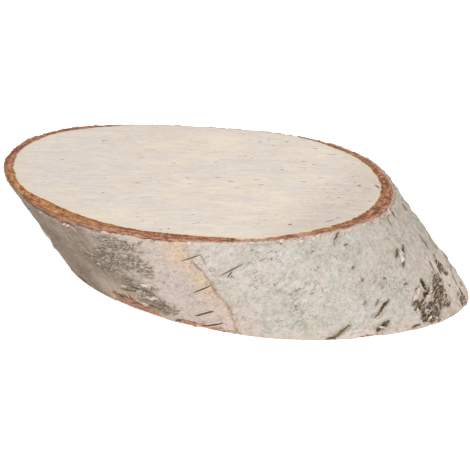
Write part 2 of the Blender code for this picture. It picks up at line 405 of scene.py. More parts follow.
# The same, and then how pale the crack is, from 0 to 1
CRACKS_SEEN = (
    (-14.0, 18.9, -10.2, 20.7, 1.1, 0.5), (-11.3, 18.5, -6.2, 20.7, 1.3, 0.3),
    (-14.2, 16.1, -11.4, 17.6, 1.0, 0.4), (-22.2, 6.1, -14.4, 9.8, 1.1, 0.5),
    (-17.4, 8.4, -14.0, 10.0, 1.5, 0.1), (-10.6, 11.6, -12.2, 8.4, 2.2, 0.0),
    (-18.8, 5.3, -11.2, 8.7, 2.1, 0.0), (-19.8, 6.2, -16.3, 2.8, 1.7, 0.1),
    (-22.8, 1.4, -15.2, 4.6, 1.8, 0.1), (-20.8, 4.1, -14.8, 5.7, 1.1, 0.2),
    (-19.2, 1.1, -13.8, 2.7, 1.2, 0.3), (-11.7, 3.4, -3.3, 6.3, 0.6, 0.7),
    (-11.2, 3.1, -5.3, 5.1, 0.7, 0.3), (7.0, 13.4, 4.4, 10.2, 1.3, 0.2),
    (5.9, 12.0, 3.6, 8.7, 1.2, 0.1), (-2.7, 9.5, -6.8, 6.7, 1.4, 0.3),
    (-8.2, 8.8, -11.3, 4.9, 1.3, 0.2), (-9.8, 6.9, -11.8, 3.1, 1.2, 0.2),
    (8.9, 18.4, 6.6, 15.4, 1.1, 0.3), (17.0, 15.6, 14.0, 12.6, 1.1, 0.4),
    (6.4, 3.8, 2.6, 0.6, 1.3, 0.1), (0.8, 2.1, -1.2, 0.4, 0.9, 0.3), (10.6, 7.8, 6.0, 4.6, 1.0, 0.6),
    (-2.8, 29.1, -4.2, 26.2, 0.45, 0.7), (3.2, 29.4, 1.4, 26.8, 1.0, 0.4),
    (-11.2, 5.9, -15.8, 3.2, 1.2, 0.5), (-8.7, 5.1, -13.3, 2.8, 1.0, 0.5),
    (-37.2, 5.2, -28.2, 9.4, 0.9, 0.6), (-34.4, 6.6, -28.2, 9.4, 1.0, 0.0),
    (-38.4, 2.0, -33.4, 3.8, 1.8, 0.0), (-39.8, 1.3, -36.8, 3.2, 1.6, 0.0),
    (-28.2, 0.7, -24.4, 1.2, 0.9, 0.3), (-55.4, 0.1, -46.0, 4.0, 0.8, 0.6),
    (-56.0, 0.2, -52.8, 0.9, 1.0, 0.1), (-30.9, 27.5, -27.1, 29.4, 0.7, 0.3),
    (-29.0, 25.5, -27.4, 25.8, 0.5, 0.5), (-24.8, 14.7, -23.6, 15.0, 0.45, 0.7),
    (-34.2, 8.3, -31.3, 10.0, 0.5, 0.9), (-37.6, 9.0, -35.8, 10.0, 0.4, 0.9),
    (-19.4, 11.8, -17.6, 12.1, 0.45, 0.7), (-32.5, 19.2, -31.0, 19.8, 0.45, 0.7),
    (-104.0, 9.9, -98.2, 9.4, 1.0, 0.4), (-104.6, 4.7, -97.1, 5.9, 0.7, 0.5),
    (-104.0, 6.2, -100.0, 6.7, 0.7, 0.4), (-106.0, 4.0, -99.0, 4.0, 0.6, 0.5),
    (-98.6, 0.6, -95.0, 1.9, 0.8, 0.4), (-118.2, 3.9, -115.6, 2.0, 0.9, 0.4),
    (-110.0, 7.4, -104.5, 8.4, 0.7, 0.5), (-21.5, 5.0, -17.5, 6.6, 1.8, 0.10),
    (-21.0, 3.4, -16.5, 5.2, 2.0, 0.15), (-22.6, 2.2, -18.0, 3.6, 1.8, 0.10),
    (-20.5, 1.4, -16.0, 2.9, 1.6, 0.20), (-17.0, 4.3, -13.8, 5.8, 1.5, 0.15),
    (-16.2, 6.0, -13.6, 7.4, 1.3, 0.10), (4.4, 12.4, 1.2, 9.6, 1.0, 0.25),
    (0.6, 13.8, -1.6, 11.4, 0.8, 0.45), (-5.6, 8.8, -8.6, 5.6, 1.3, 0.10),
    (-3.0, 8.4, -6.4, 5.0, 1.0, 0.25), (-32.6, 15.4, -31.4, 16.2, 0.45, 0.20),
    (-139.5, 2.2, -134.0, 0.5, 1.2, 0.3), (-89.9, 1.1, -82.4, 3.3, 1.1, 0.0),
    (-88.0, 4.9, -83.0, 6.8, 0.9, 0.3),
)
SCATTERED_CRACKS = 26
SCATTERED_LENTICELS = 70
SCATTER_FROM, SCATTER_TO = 12.0, 222.0
SCATTER_SEED = 3
MARK_RISE = 23.0
LEVEL_SIDE = 40


def mark_ends(side, level, half_turn, slip=0.0):
    """The two ends of a short mark that runs round the branch, as lenticels do."""
    rise = -MARK_RISE * math.sin(math.radians(side - LEVEL_SIDE)) * math.radians(half_turn) + slip
    return side - half_turn, level - rise, side + half_turn, level + rise


def lenticel_places():
    """Rows of (angle, height, angle, height, width), in degrees and millimetres, of the two ends."""
    rng = np.random.default_rng(SCATTER_SEED)
    places = list(LENTICELS_SEEN)
    for number in range(SCATTERED_LENTICELS):
        share = (number + rng.uniform(0, 1)) / SCATTERED_LENTICELS
        side = SCATTER_FROM + share * (SCATTER_TO - SCATTER_FROM)
        level = rng.uniform(1.5, THICKNESS / MM - 1.5)
        ends = mark_ends(side, level, rng.uniform(1.2, 4.6))
        places.append((*ends, rng.uniform(0.5, 1.2)))
    return np.array(places)


def crack_places():
    """The cracks in view and short ones on the far side: as the lenticels, and how pale they are."""
    rng = np.random.default_rng(SCATTER_SEED + 1)
    places = list(CRACKS_SEEN)
    for _ in range(SCATTERED_CRACKS):
        side, level = rng.uniform(SCATTER_FROM, SCATTER_TO), rng.uniform(1.0, 28.0)
        ends = mark_ends(side, level, rng.uniform(0.8, 3.5), slip=rng.uniform(-0.6, 0.6))
        width, tone = rng.uniform(0.5, 1.2), rng.uniform(0.0, 0.7)
        places.append((*ends, width, tone))
    return np.array(places)


LENTICELS = lenticel_places()
CRACKS = crack_places()
print("lenticels:", len(LENTICELS), "cracks:", len(CRACKS))

# %% [markdown]
# ## Outer bark
# The outer bark is a thin sleeve. Its two rims are torn, and its outside has the swells of the branch,
# thin paper layers that end in small steps, fine ripples along the marks, raised crusts and the peeled
# strip. A sculpted displacement would do it too, but a formula on a fine grid gives the same result on
# each run, and its masks drive the material at exactly the same places.

# %% Outer bark
BARK_COLUMNS = 900
BARK_ROWS = 96
FRONT_SIDE = math.radians(-60)
FRONT_WEIGHT = 0.32
DEEPEST = -0.38
LIP_TUCK = 0.12 * MM
# The five rows of the sleeve's inside, from the top down: how far each is moved up, and set in
INSIDE_RISES = (0.0, -0.15, 0.0, 0.15, 0.0)
INSIDE_INSETS = (0.50, 0.70, 0.95, 0.70, 0.50)


def paper_steps(points):
    """Thin layers of paper bark: a few soft contours of a slow noise, each a small step down."""
    slow = fractal(along_marks(points, 15.0, 6.0), 4, seed=60)
    return sum(smooth(edge - 0.025, edge + 0.025, slow) for edge in (-0.55, -0.2, 0.12, 0.45))


def near_marks(angle, height, marks, extra=0.0):
    """1 along the middle of each mark, fading to 0 at its width and at its ends."""
    nearest = np.full(angle.shape, 9.0)
    for side, level, side_end, level_end, width in marks[:, :5]:
        run = LOG_RADIUS / MM * math.radians(side_end - side)
        length = math.hypot(run, level_end - level)
        along, up = run / length, (level_end - level) / length
        x = LOG_RADIUS / MM * turn_between(angle, math.radians(side))
        y = height / MM - level
        share = np.clip((x * along + y * up) / length, 0, 1)
        gap = np.hypot(x - share * run, y - share * (level_end - level))
        taper = 0.35 + 0.65 * np.sqrt(np.clip(4 * share * (1 - share), 0, 1))
        nearest = np.minimum(nearest, gap / (0.5 * width * taper + extra))
    return smooth(1.35, 0.45, nearest)


def bark_surface(angle, height):
    """The relief of the outer bark in metres, and the masks that colour it."""
    points = slab_points(angle, height, branch_radius(angle, height))
    crust = crust_mask(angle, height, points)
    peel_edge = turn_between(angle, peel_edge_angle(height))
    ragged = math.radians(0.5) * noise(along_marks(points, 2.0, 1.0), 31)
    peel = smooth(0.012, -0.020, peel_edge + ragged)
    side = turn_between(angle, 0.0)
    peel *= smooth(math.radians(PEEL_FADE[0]), math.radians(PEEL_FADE[1]), side)
    peach = smooth(0.02, -0.02, peel_edge + 0.015 * noise(along_marks(points, 6.0, 6.0), 34))
    wander = 0.04 * noise(along_marks(points, 8.0, 8.0), 35)
    peach *= smooth(math.radians(-85), math.radians(-79), side + wander)
    broken = smooth(-0.8, -0.1, noise(along_marks(points, 4.0, 4.0), 33))
    line = np.exp(-((peel_edge + ragged) * LOG_RADIUS / MM / 0.45) ** 2)
    line = line * smooth(27.0, 24.5, height / MM) * broken
    steps = paper_steps(points)
    ripples = noise(along_marks(points, 2.6, 0.7), 70) + 0.5 * noise(along_marks(points, 1.2, 0.5), 71)
    plates = np.abs(fractal(along_marks(points, 2.6, 1.1), 3, seed=80))
    relief = 0.20 * noise(along_marks(points, 17.0, 17.0), 50)
    relief += 0.06 * noise(along_marks(points, 6.0, 3.0), 51)
    relief += 0.055 * steps - 0.09 + 0.035 * ripples
    relief += crust * (0.08 + 0.50 * plates - 0.22 * smooth(0.10, 0.0, plates))
    wobble = 0.22 * MM * noise(along_marks(points, 0.9, 0.9), 36)
    crack = near_marks(angle + wobble / LOG_RADIUS, height + wobble, CRACKS, extra=0.25)
    relief += 0.20 * near_marks(angle, height, LENTICELS, extra=0.6) - 0.25 * crack
    relief -= PEEL_DEPTH * peel + 0.12 * line
    masks = {"crust": crust, "peach": peach, "line": line, "steps": steps / 4, "crack": crack}
    return np.maximum(relief, DEEPEST) * MM, masks


def front_weighted(columns):
    """Angles round the branch, closer together on the side that is seen."""
    even = np.linspace(0, 2 * np.pi, columns, endpoint=False)
    return even - FRONT_WEIGHT * np.sin(even - FRONT_SIDE)


def make_outer_bark():
    """Rows up the outside, over the upper torn edge, down the inside and under the lower torn edge."""
    angle = front_weighted(BARK_COLUMNS)
    bottom = tear_reach(angle, BOTTOM_TEARS, 3, BOTTOM_WEAR)
    top = THICKNESS - tear_reach(angle, TOP_TEARS, 9, TOP_WEAR)
    share = np.linspace(0, 1, BARK_ROWS)[:, None]
    height = bottom + (top - bottom) * share
    angles = np.broadcast_to(angle, height.shape)
    relief, masks = bark_surface(angles, height)
    lip = smooth(0.0, 0.02, share) * smooth(1.0, 0.98, share)
    radius = branch_radius(angles, height) + relief * (0.5 + 0.5 * lip) - LIP_TUCK * (1 - lip)
    outside = slab_points(angles, height, radius)
    turning = [-1, -1, BARK_ROWS // 2, 0, 0]
    inner_height = height[turning] + np.array(INSIDE_RISES)[:, None] * MM
    inner_radius = branch_radius(angles[:5], inner_height) - np.array(INSIDE_INSETS)[:, None] * MM
    rows = np.concatenate([outside, slab_points(angles[:5], inner_height, inner_radius)])

    def whole(values, inside):
        """Adds the five rows of the inside to the rows of the outside."""
        return np.concatenate([values, np.broadcast_to(inside, angles[:5].shape)])

    crust, side = masks["crust"], turn_between(angles, 0.0)
    from_bottom, from_top = (height - bottom) / MM, (top - height) / MM
    from_edge = np.minimum(from_bottom, from_top)
    from_rim = smooth(0.5, 1.2, from_edge)
    weathered = smooth(70, 50, degrees_off(angles, -100))
    on_lip = smooth(0.9, 0.5, from_top) * smooth(0.05, 0.2, from_top)
    on_lip *= smooth(-0.4, 0.2, noise(along_marks(outside, 3.0, 3.0), 38))
    on_lip *= 0.15 + 0.85 * smooth(math.radians(-88), math.radians(-60), side)
    every = {name: whole(values, values[turning]) for name, values in masks.items()}
    every["edge"] = whole(smooth(1.1, 0.0, from_edge), 1.0)
    every["level"] = whole(height, inner_height) / THICKNESS
    every["below"] = whole(smooth(4.5, 0.0, from_bottom), 1.0)
    every["lip_here"] = whole(on_lip, 0.0)
    every["specks_here"] = whole(crust * weathered * from_rim, 0.0)
    every["plates_here"] = whole(crust * (1 - weathered) * from_rim, 0.0)
    every["shreds_here"] = whole((1 - crust) * from_rim, 0.0)
    every["side"] = np.degrees(whole(side, side[:5]))
    return sleeve("outer_bark", rows, every)


# %% [markdown]
# ## Inner bark
# Under the paper is the inner bark, soft, brown and granular. It shows as the rim of both sawn faces,
# torn a little below the wood, and wherever the outer bark is gone. It is a sleeve too, with close rows
# on its rims, because that is where it is seen.

# %% Inner bark
INNER_COLUMNS = 1150
RIM_ROWS = 12
SIDE_ROWS = 44
OUTER_INSET = 0.60 * MM
UNDER_WOOD = 0.15 * MM


def make_inner_bark():
    """Rows out over the lower rim, up the side, in over the upper rim and down inside against the wood."""
    angle = np.linspace(0, 2 * np.pi, INNER_COLUMNS, endpoint=False)
    across = np.linspace(1, 0, RIM_ROWS)[:, None]
    inset = OUTER_INSET + (rim_width(angle) + UNDER_WOOD - OUTER_INSET) * across
    up = np.linspace(0.02, 0.98, SIDE_ROWS)[:, None] + 0 * angle
    levels = np.concatenate([0 * inset, up, 0 * inset + 1, [0 * angle + 0.9], [0 * angle + 0.1]])
    hidden = [inset[0] + 0.2 * MM]
    insets = np.concatenate([inset, 0 * up + OUTER_INSET, inset[::-1], hidden, hidden])
    angles = np.broadcast_to(angle, levels.shape)
    flat = slab_points(angles, levels * THICKNESS, branch_radius(angles, levels * THICKNESS) - insets)
    grains = noise(flat / (1.5 * MM), 90) + 0.6 * noise(flat / (0.7 * MM), 91)
    on_ring = round_branch(angles, (insets + levels * THICKNESS) / MM)
    bands = noise(on_ring / (4.5, 4.5, 1.3), 92) + 0.7 * noise(on_ring / (1.9, 1.9, 0.8), 93)
    tufts = fractal(flat / (2.4 * MM), 3, seed=94)
    number = np.arange(len(levels))
    is_lower, above_side = number < RIM_ROWS, number >= RIM_ROWS + SIDE_ROWS
    on_side = ~is_lower & ~above_side
    rim = np.zeros(len(levels))
    rim[is_lower] = np.linspace(0, 1, RIM_ROWS)
    rim[RIM_ROWS + SIDE_ROWS:2 * RIM_ROWS + SIDE_ROWS] = np.linspace(1, 0, RIM_ROWS)
    dip = (0.20 + 0.14 * grains + 0.09 * tufts + 0.06 * bands) * MM * smooth(0.0, 0.16, rim)[:, None]
    sign = np.where(is_lower, 1.0, np.where(above_side & (rim > 0), -1.0, 0.0))[:, None]
    height = levels * THICKNESS + sign * np.maximum(dip, 0.02 * MM)
    relief = on_side[:, None] * np.clip(0.07 * grains + 0.10 * tufts, -0.2, 0.18) * MM
    rows = slab_points(angles, height, branch_radius(angles, height) - insets + relief)
    masks = {"rim": np.broadcast_to(np.where(on_side, 1.0, rim)[:, None], levels.shape),
             "grains": grains, "bands": bands,
             "torn_side": np.broadcast_to(on_side[:, None], levels.shape),
             "side": np.degrees(turn_between(angles, 0.0))}
    return sleeve("inner_bark", rows, masks)


# %% [markdown]
# ## Sawn wood
# The saw cut goes slantwise across the grain, so the wood shows long fine streaks instead of round
# growth rings. Both faces are discs, with rows of points about the middle, lightly ridged by the saw, with
# small pits where fibres tore out. The side between them is out of sight behind the bark.

# %% Sawn wood
WOOD_COLUMNS = 720
WOOD_ROWS = 66
ROW_CROWDING = 0.85
SAW_PITCH = 2.1 * MM
DEEPEST_PIT = 0.25 * MM
GRAIN_TURN = math.radians(21.0)


def wood_face(points):
    """How far the sawn face lies below its plane, in metres."""
    along = points[..., 0] * math.cos(GRAIN_TURN) + points[..., 1] * math.sin(GRAIN_TURN)
    across = points[..., 1] * math.cos(GRAIN_TURN) - points[..., 0] * math.sin(GRAIN_TURN)
    turned = np.stack([along, across, points[..., 2]], axis=-1)
    wander = 0.5 * noise(turned / (20 * MM), 110)
    ridges = 0.5 + 0.5 * np.sin(2 * np.pi * (across / SAW_PITCH + wander))
    fibres = noise(turned / (7.0 * MM, 0.9 * MM, 1.0 * MM), 111)
    pits = smooth(0.62, 0.85, noise(turned / (2.4 * MM, 0.8 * MM, 1.0 * MM), 112))
    return (0.03 * ridges + 0.035 * (fibres + 0.6) + 0.14 * pits) * MM


def make_sawn_wood():
    """Both faces and the hidden side as one closed mesh, from the underside's middle to the top's."""
    angle = np.linspace(0, 2 * np.pi, WOOD_COLUMNS, endpoint=False)
    share = (np.arange(1, WOOD_ROWS + 1) / WOOD_ROWS) ** ROW_CROWDING
    rows = []
    for level, order in ((0.0, share), (THICKNESS, share[::-1])):
        radius = (branch_radius(angle, 0 * angle + level) - rim_width(angle)) * order[:, None]
        angles = np.broadcast_to(angle, radius.shape)
        flat = slab_points(angles, 0 * radius + level, radius)
        dip = np.clip(wood_face(flat), 0.0, DEEPEST_PIT)
        flat[..., 2] += dip if level == 0 else -dip
        rows.append(flat)
    rows = np.concatenate(rows)
    middles = [rows[0].mean(axis=0), rows[-1].mean(axis=0)]
    count = len(rows)
    points = np.concatenate([rows.reshape(-1, 3), middles])
    row, column = np.meshgrid(np.arange(count - 1), np.arange(WOOD_COLUMNS), indexing="ij")
    following = (column + 1) % WOOD_COLUMNS
    corners = [(row, column), (row, following), (row + 1, following), (row + 1, column)]
    quads = np.stack([a * WOOD_COLUMNS + b for a, b in corners], axis=-1).reshape(-1, 4).tolist()
    last = (count - 1) * WOOD_COLUMNS
    low_middle, high_middle = count * WOOD_COLUMNS, count * WOOD_COLUMNS + 1
    fans = [(low_middle, (c + 1) % WOOD_COLUMNS, c) for c in range(WOOD_COLUMNS)]
    fans += [(high_middle, last + c, last + (c + 1) % WOOD_COLUMNS) for c in range(WOOD_COLUMNS)]
    mesh = bpy.data.meshes.new("sawn_wood")
    mesh.from_pydata(points.tolist(), [], quads + fans)
    corner_points = points[[index for face in quads + fans for index in face]]
    upper_quads = np.repeat(row.ravel() >= WOOD_ROWS, 4)
    upper = np.concatenate([upper_quads, np.repeat([False, True], 3 * WOOD_COLUMNS)])
    depth = high.y - low.y
    set_uv(mesh, corner_points[:, 0], corner_points[:, 1] + upper * depth)
    near_bark = np.concatenate([share, share[::-1]]) ** (1 / ROW_CROWDING)
    radius = np.linalg.norm(rows[..., :2] - CENTRE, axis=-1)
    set_masks(mesh, {"near_bark": np.append(np.repeat(near_bark, WOOD_COLUMNS), [0, 0])})
    print("widest face radius in mm:", round(radius.max() / MM, 1))
    return mesh


# %% [markdown]
# ## Shader groups
# Six effects come back in several finishes, so each is a node group with named inputs, built once:
# squiggles (short crooked lines), streaks along the marks, along the branch and along the sawn grain,
# speckles (small scattered dots), and grain (fine unevenness). Each puts out one mask, and the materials
# lay their own colours over each other with it.

# %% Node helpers
def add(tree, kind, links=None, **settings):
    """Adds a node, sets its properties, and fills or links its inputs by name or number."""
    node = tree.nodes.new(kind)
    for key, value in settings.items():
        setattr(node, key, value)
    for key, value in (links or {}).items():
        if isinstance(value, bpy.types.NodeSocket):
            tree.links.new(value, node.inputs[key])
        else:
            node.inputs[key].default_value = value
    return node


def first(tree, kind, links=None, **settings):
    """Adds a node and gives its first output."""
    return add(tree, kind, links, **settings).outputs[0]


def mask_group(name, inputs):
    """An empty shader group with number inputs and one output called Mask."""
    tree = bpy.data.node_groups.new(name, "ShaderNodeTree")
    for label, value in inputs.items():
        socket = tree.interface.new_socket(label, in_out="INPUT", socket_type="NodeSocketFloat")
        socket.default_value = value
    tree.interface.new_socket("Mask", in_out="OUTPUT", socket_type="NodeSocketFloat")
    return tree, tree.nodes.new("NodeGroupInput").outputs, tree.nodes.new("NodeGroupOutput").inputs


def ramp(tree, value, start, end):
    """0 below the start, 1 above the end, smooth between. The start may be above the end."""
    node = add(tree, "ShaderNodeMapRange", {"Value": value, 1: start, 2: end, 3: 0.0, 4: 1.0})
    node.interpolation_type = "SMOOTHSTEP"
    return node.outputs[0]


def calc(tree, operation, a, b=0.0, c=0.0):
    """One step of arithmetic on numbers or sockets."""
    return first(tree, "ShaderNodeMath", {0: a, 1: b, 2: c}, operation=operation)


def times(tree, a, b):
    """The product of two numbers or sockets."""
    return calc(tree, "MULTIPLY", a, b)


def vector_calc(tree, operation, a, b):
    """One step of arithmetic on vectors. To scale, b is a number or a socket with one."""
    second = 3 if operation == "SCALE" else 1
    return first(tree, "ShaderNodeVectorMath", {0: a, second: b}, operation=operation)


def object_place(tree):
    """Object coordinates, which stay with the piece when it is turned or exported."""
    return add(tree, "ShaderNodeTexCoord").outputs["Object"]


def turned_place(tree, turn):
    """Object coordinates, turned so that their Z lies along the streaks or square to them."""
    links = {"Vector": object_place(tree), "Rotation": turn}
    return first(tree, "ShaderNodeMapping", links, vector_type="TEXTURE")


def stretched(tree, place, long_size, cross_size):
    """Divides the place by a size along the streaks and a size across them, in millimetres."""
    size = first(tree, "ShaderNodeCombineXYZ", {0: long_size, 1: long_size, 2: cross_size})
    return vector_calc(tree, "DIVIDE", place, vector_calc(tree, "MULTIPLY", size, (MM,) * 3))


def noise_texture(tree, vector, **values):
    """A noise texture at one unit's scale, with its other inputs by name."""
    links = {"Vector": vector, "Scale": 1.0}
    links.update({key.capitalize(): value for key, value in values.items()})
    return first(tree, "ShaderNodeTexNoise", links)


# %% Squiggles, streaks, speckles and grain
MARK_EULER = tuple(MARK_TURN.to_euler())
GRAIN_EULER = tuple(Euler((0.0, math.radians(90.0), GRAIN_TURN)))
AXIS_EULER = (0.0, -LEAN, 0.0)


def streak_group(name, turn, along_z):
    """Streaks on turned Object coordinates: along their Z axis, or in the planes across it."""
    tree, inputs, outputs = mask_group(
        name, {"Length": 4.0, "Width": 0.5, "Low": 0.5, "High": 0.6, "Shift": 0.0})
    place = turned_place(tree, turn)
    long_size, cross_size = inputs["Length"], inputs["Width"]
    if along_z:
        long_size, cross_size = cross_size, long_size
    vector = stretched(tree, place, long_size, cross_size)
    shifted = vector_calc(tree, "ADD", vector, inputs["Shift"])
    texture = noise_texture(tree, shifted, detail=4.0, roughness=0.7)
    tree.links.new(ramp(tree, texture, inputs["Low"], inputs["High"]), outputs["Mask"])
    return tree


def speckle_group():
    """Scattered small dots: the near parts of cells, where a random draw for the cell allows one."""
    tree, inputs, outputs = mask_group("speckles", {"Size": 1.0, "Share": 0.2, "Spread": 0.3})
    place = object_place(tree)
    vector = stretched(tree, place, inputs["Size"], inputs["Size"])
    cells = add(tree, "ShaderNodeTexVoronoi", {"Vector": vector, "Scale": 1.0, "Randomness": 1.0})
    draw = first(tree, "ShaderNodeSeparateColor", {0: cells.outputs["Color"]})
    chosen = calc(tree, "LESS_THAN", draw, inputs["Share"])
    near = ramp(tree, cells.outputs["Distance"], inputs["Spread"], times(tree, inputs["Spread"], 0.4))
    tree.links.new(times(tree, chosen, near), outputs["Mask"])
    return tree


def grain_group():
    """Fine unevenness of one size, the same in all directions."""
    tree, inputs, outputs = mask_group("grain", {"Size": 0.6, "Low": 0.35, "High": 0.65})
    place = object_place(tree)
    vector = stretched(tree, place, inputs["Size"], inputs["Size"])
    texture = noise_texture(tree, vector, detail=5.0, roughness=0.7)
    tree.links.new(ramp(tree, texture, inputs["Low"], inputs["High"]), outputs["Mask"])
    return tree


def squiggle_group():
    """Short crooked lines: where one noise is nearly level, kept only where a second one is high."""
    tree, inputs, outputs = mask_group("squiggles", {"Size": 1.5, "Thin": 0.02, "Share": 0.5, "Shift": 0.0})
    place = stretched(tree, turned_place(tree, MARK_EULER), inputs["Size"], times(tree, inputs["Size"], 0.6))
    vector = vector_calc(tree, "ADD", place, inputs["Shift"])
    line = noise_texture(tree, vector, detail=2.5, roughness=0.6, distortion=0.5)
    off_level = calc(tree, "ABSOLUTE", calc(tree, "SUBTRACT", line, 0.5))
    patch = noise_texture(tree, vector, scale=0.55, detail=3.0, roughness=0.7)
    keep = ramp(tree, patch, inputs["Share"], calc(tree, "ADD", inputs["Share"], 0.05))
    thin = ramp(tree, off_level, inputs["Thin"], times(tree, inputs["Thin"], 0.3))
    tree.links.new(times(tree, thin, keep), outputs["Mask"])
    return tree


GROUPS = {
    "squiggles": squiggle_group(),
    "mark_streaks": streak_group("mark_streaks", MARK_EULER, along_z=False),
    "axis_streaks": streak_group("axis_streaks", AXIS_EULER, along_z=True),
    "wood_streaks": streak_group("wood_streaks", GRAIN_EULER, along_z=True),
    "speckles": speckle_group(),
    "grain": grain_group(),
}
print("shader groups:", ", ".join(GROUPS))


def effect(tree, name, **values):
    """Places one of the groups in a material and gives its Mask."""
    node = add(tree, "ShaderNodeGroup", node_tree=GROUPS[name])
    for key, value in values.items():
        node.inputs[key.capitalize()].default_value = value
    return node.outputs["Mask"]


def attribute(tree, name):
    """A mask that was stored on the mesh."""
    return add(tree, "ShaderNodeAttribute", attribute_name=name).outputs["Fac"]


LIGHT_GAIN = 1.25


def linear(red, green, blue):
    """A colour as it should look in this light, from 0 to 255, as the shader's linear colour."""
    shares = [channel / 255 for channel in (red, green, blue)]
    linear_shares = [c / 12.92 if c <= 0.04045 else ((c + 0.055) / 1.055) ** 2.4 for c in shares]
    return tuple(share / LIGHT_GAIN for share in linear_shares) + (1.0,)


def mix(tree, factor, first, second):
    """Mixes two colours. Each may be a socket or three screen values."""
    colours = [c if isinstance(c, bpy.types.NodeSocket) else linear(*c) for c in (first, second)]
    node = add(tree, "ShaderNodeMix", data_type="RGBA", clamp_factor=True)
    for socket, value in zip((node.inputs[0], node.inputs[6], node.inputs[7]), (factor, *colours)):
        if isinstance(value, bpy.types.NodeSocket):
            tree.links.new(value, socket)
        else:
            socket.default_value = value
    return node.outputs[2]


def over(tree, colour, mask, share, new_colour):
    """Lays a colour over the last one, as far as a mask times a share."""
    return mix(tree, times(tree, mask, share), colour, new_colour)


def new_material(name, roughness):
    """A material with its Principled shader, ready for colour and bump."""
    material = bpy.data.materials.new(name)
    material.use_nodes = True
    shader = material.node_tree.nodes["Principled BSDF"]
    shader.inputs["Roughness"].default_value = roughness
    shader.inputs["Specular IOR Level"].default_value = 0.25
    return material, material.node_tree, shader


def finish_material(tree, shader, colour, height, bump_mm, strength=1.0):
    """Links the colour, and the height as a bump of so many millimetres."""
    tree.links.new(colour, shader.inputs["Base Color"])
    bump = add(tree, "ShaderNodeBump", {"Height": height, "Distance": bump_mm * MM, "Strength": strength})
    tree.links.new(bump.outputs[0], shader.inputs["Normal"])


# %% [markdown]
# ## Finish: outer bark
# From afar the bark is off-white, but close up it is a patchwork: chalky white and grey-green clouds,
# fine brown streaks along the marks, olive specks, peach and pink where the paper has peeled, tan on the
# right side, and near-black cracks in the crusts. The left and back are darker brown, partly browner bark
# and partly painted shade; painted shade darkens the left edge most, and the lower right is painted
# lighter. Each is one mix over the last.

# %% Outer bark material
def side_zone(tree, start, full, end_full, end):
    """1 over a stretch of sides of the branch, in degrees, fading at both ends."""
    side = attribute(tree, "side")
    return times(tree, ramp(tree, side, start, full), ramp(tree, side, end, end_full))


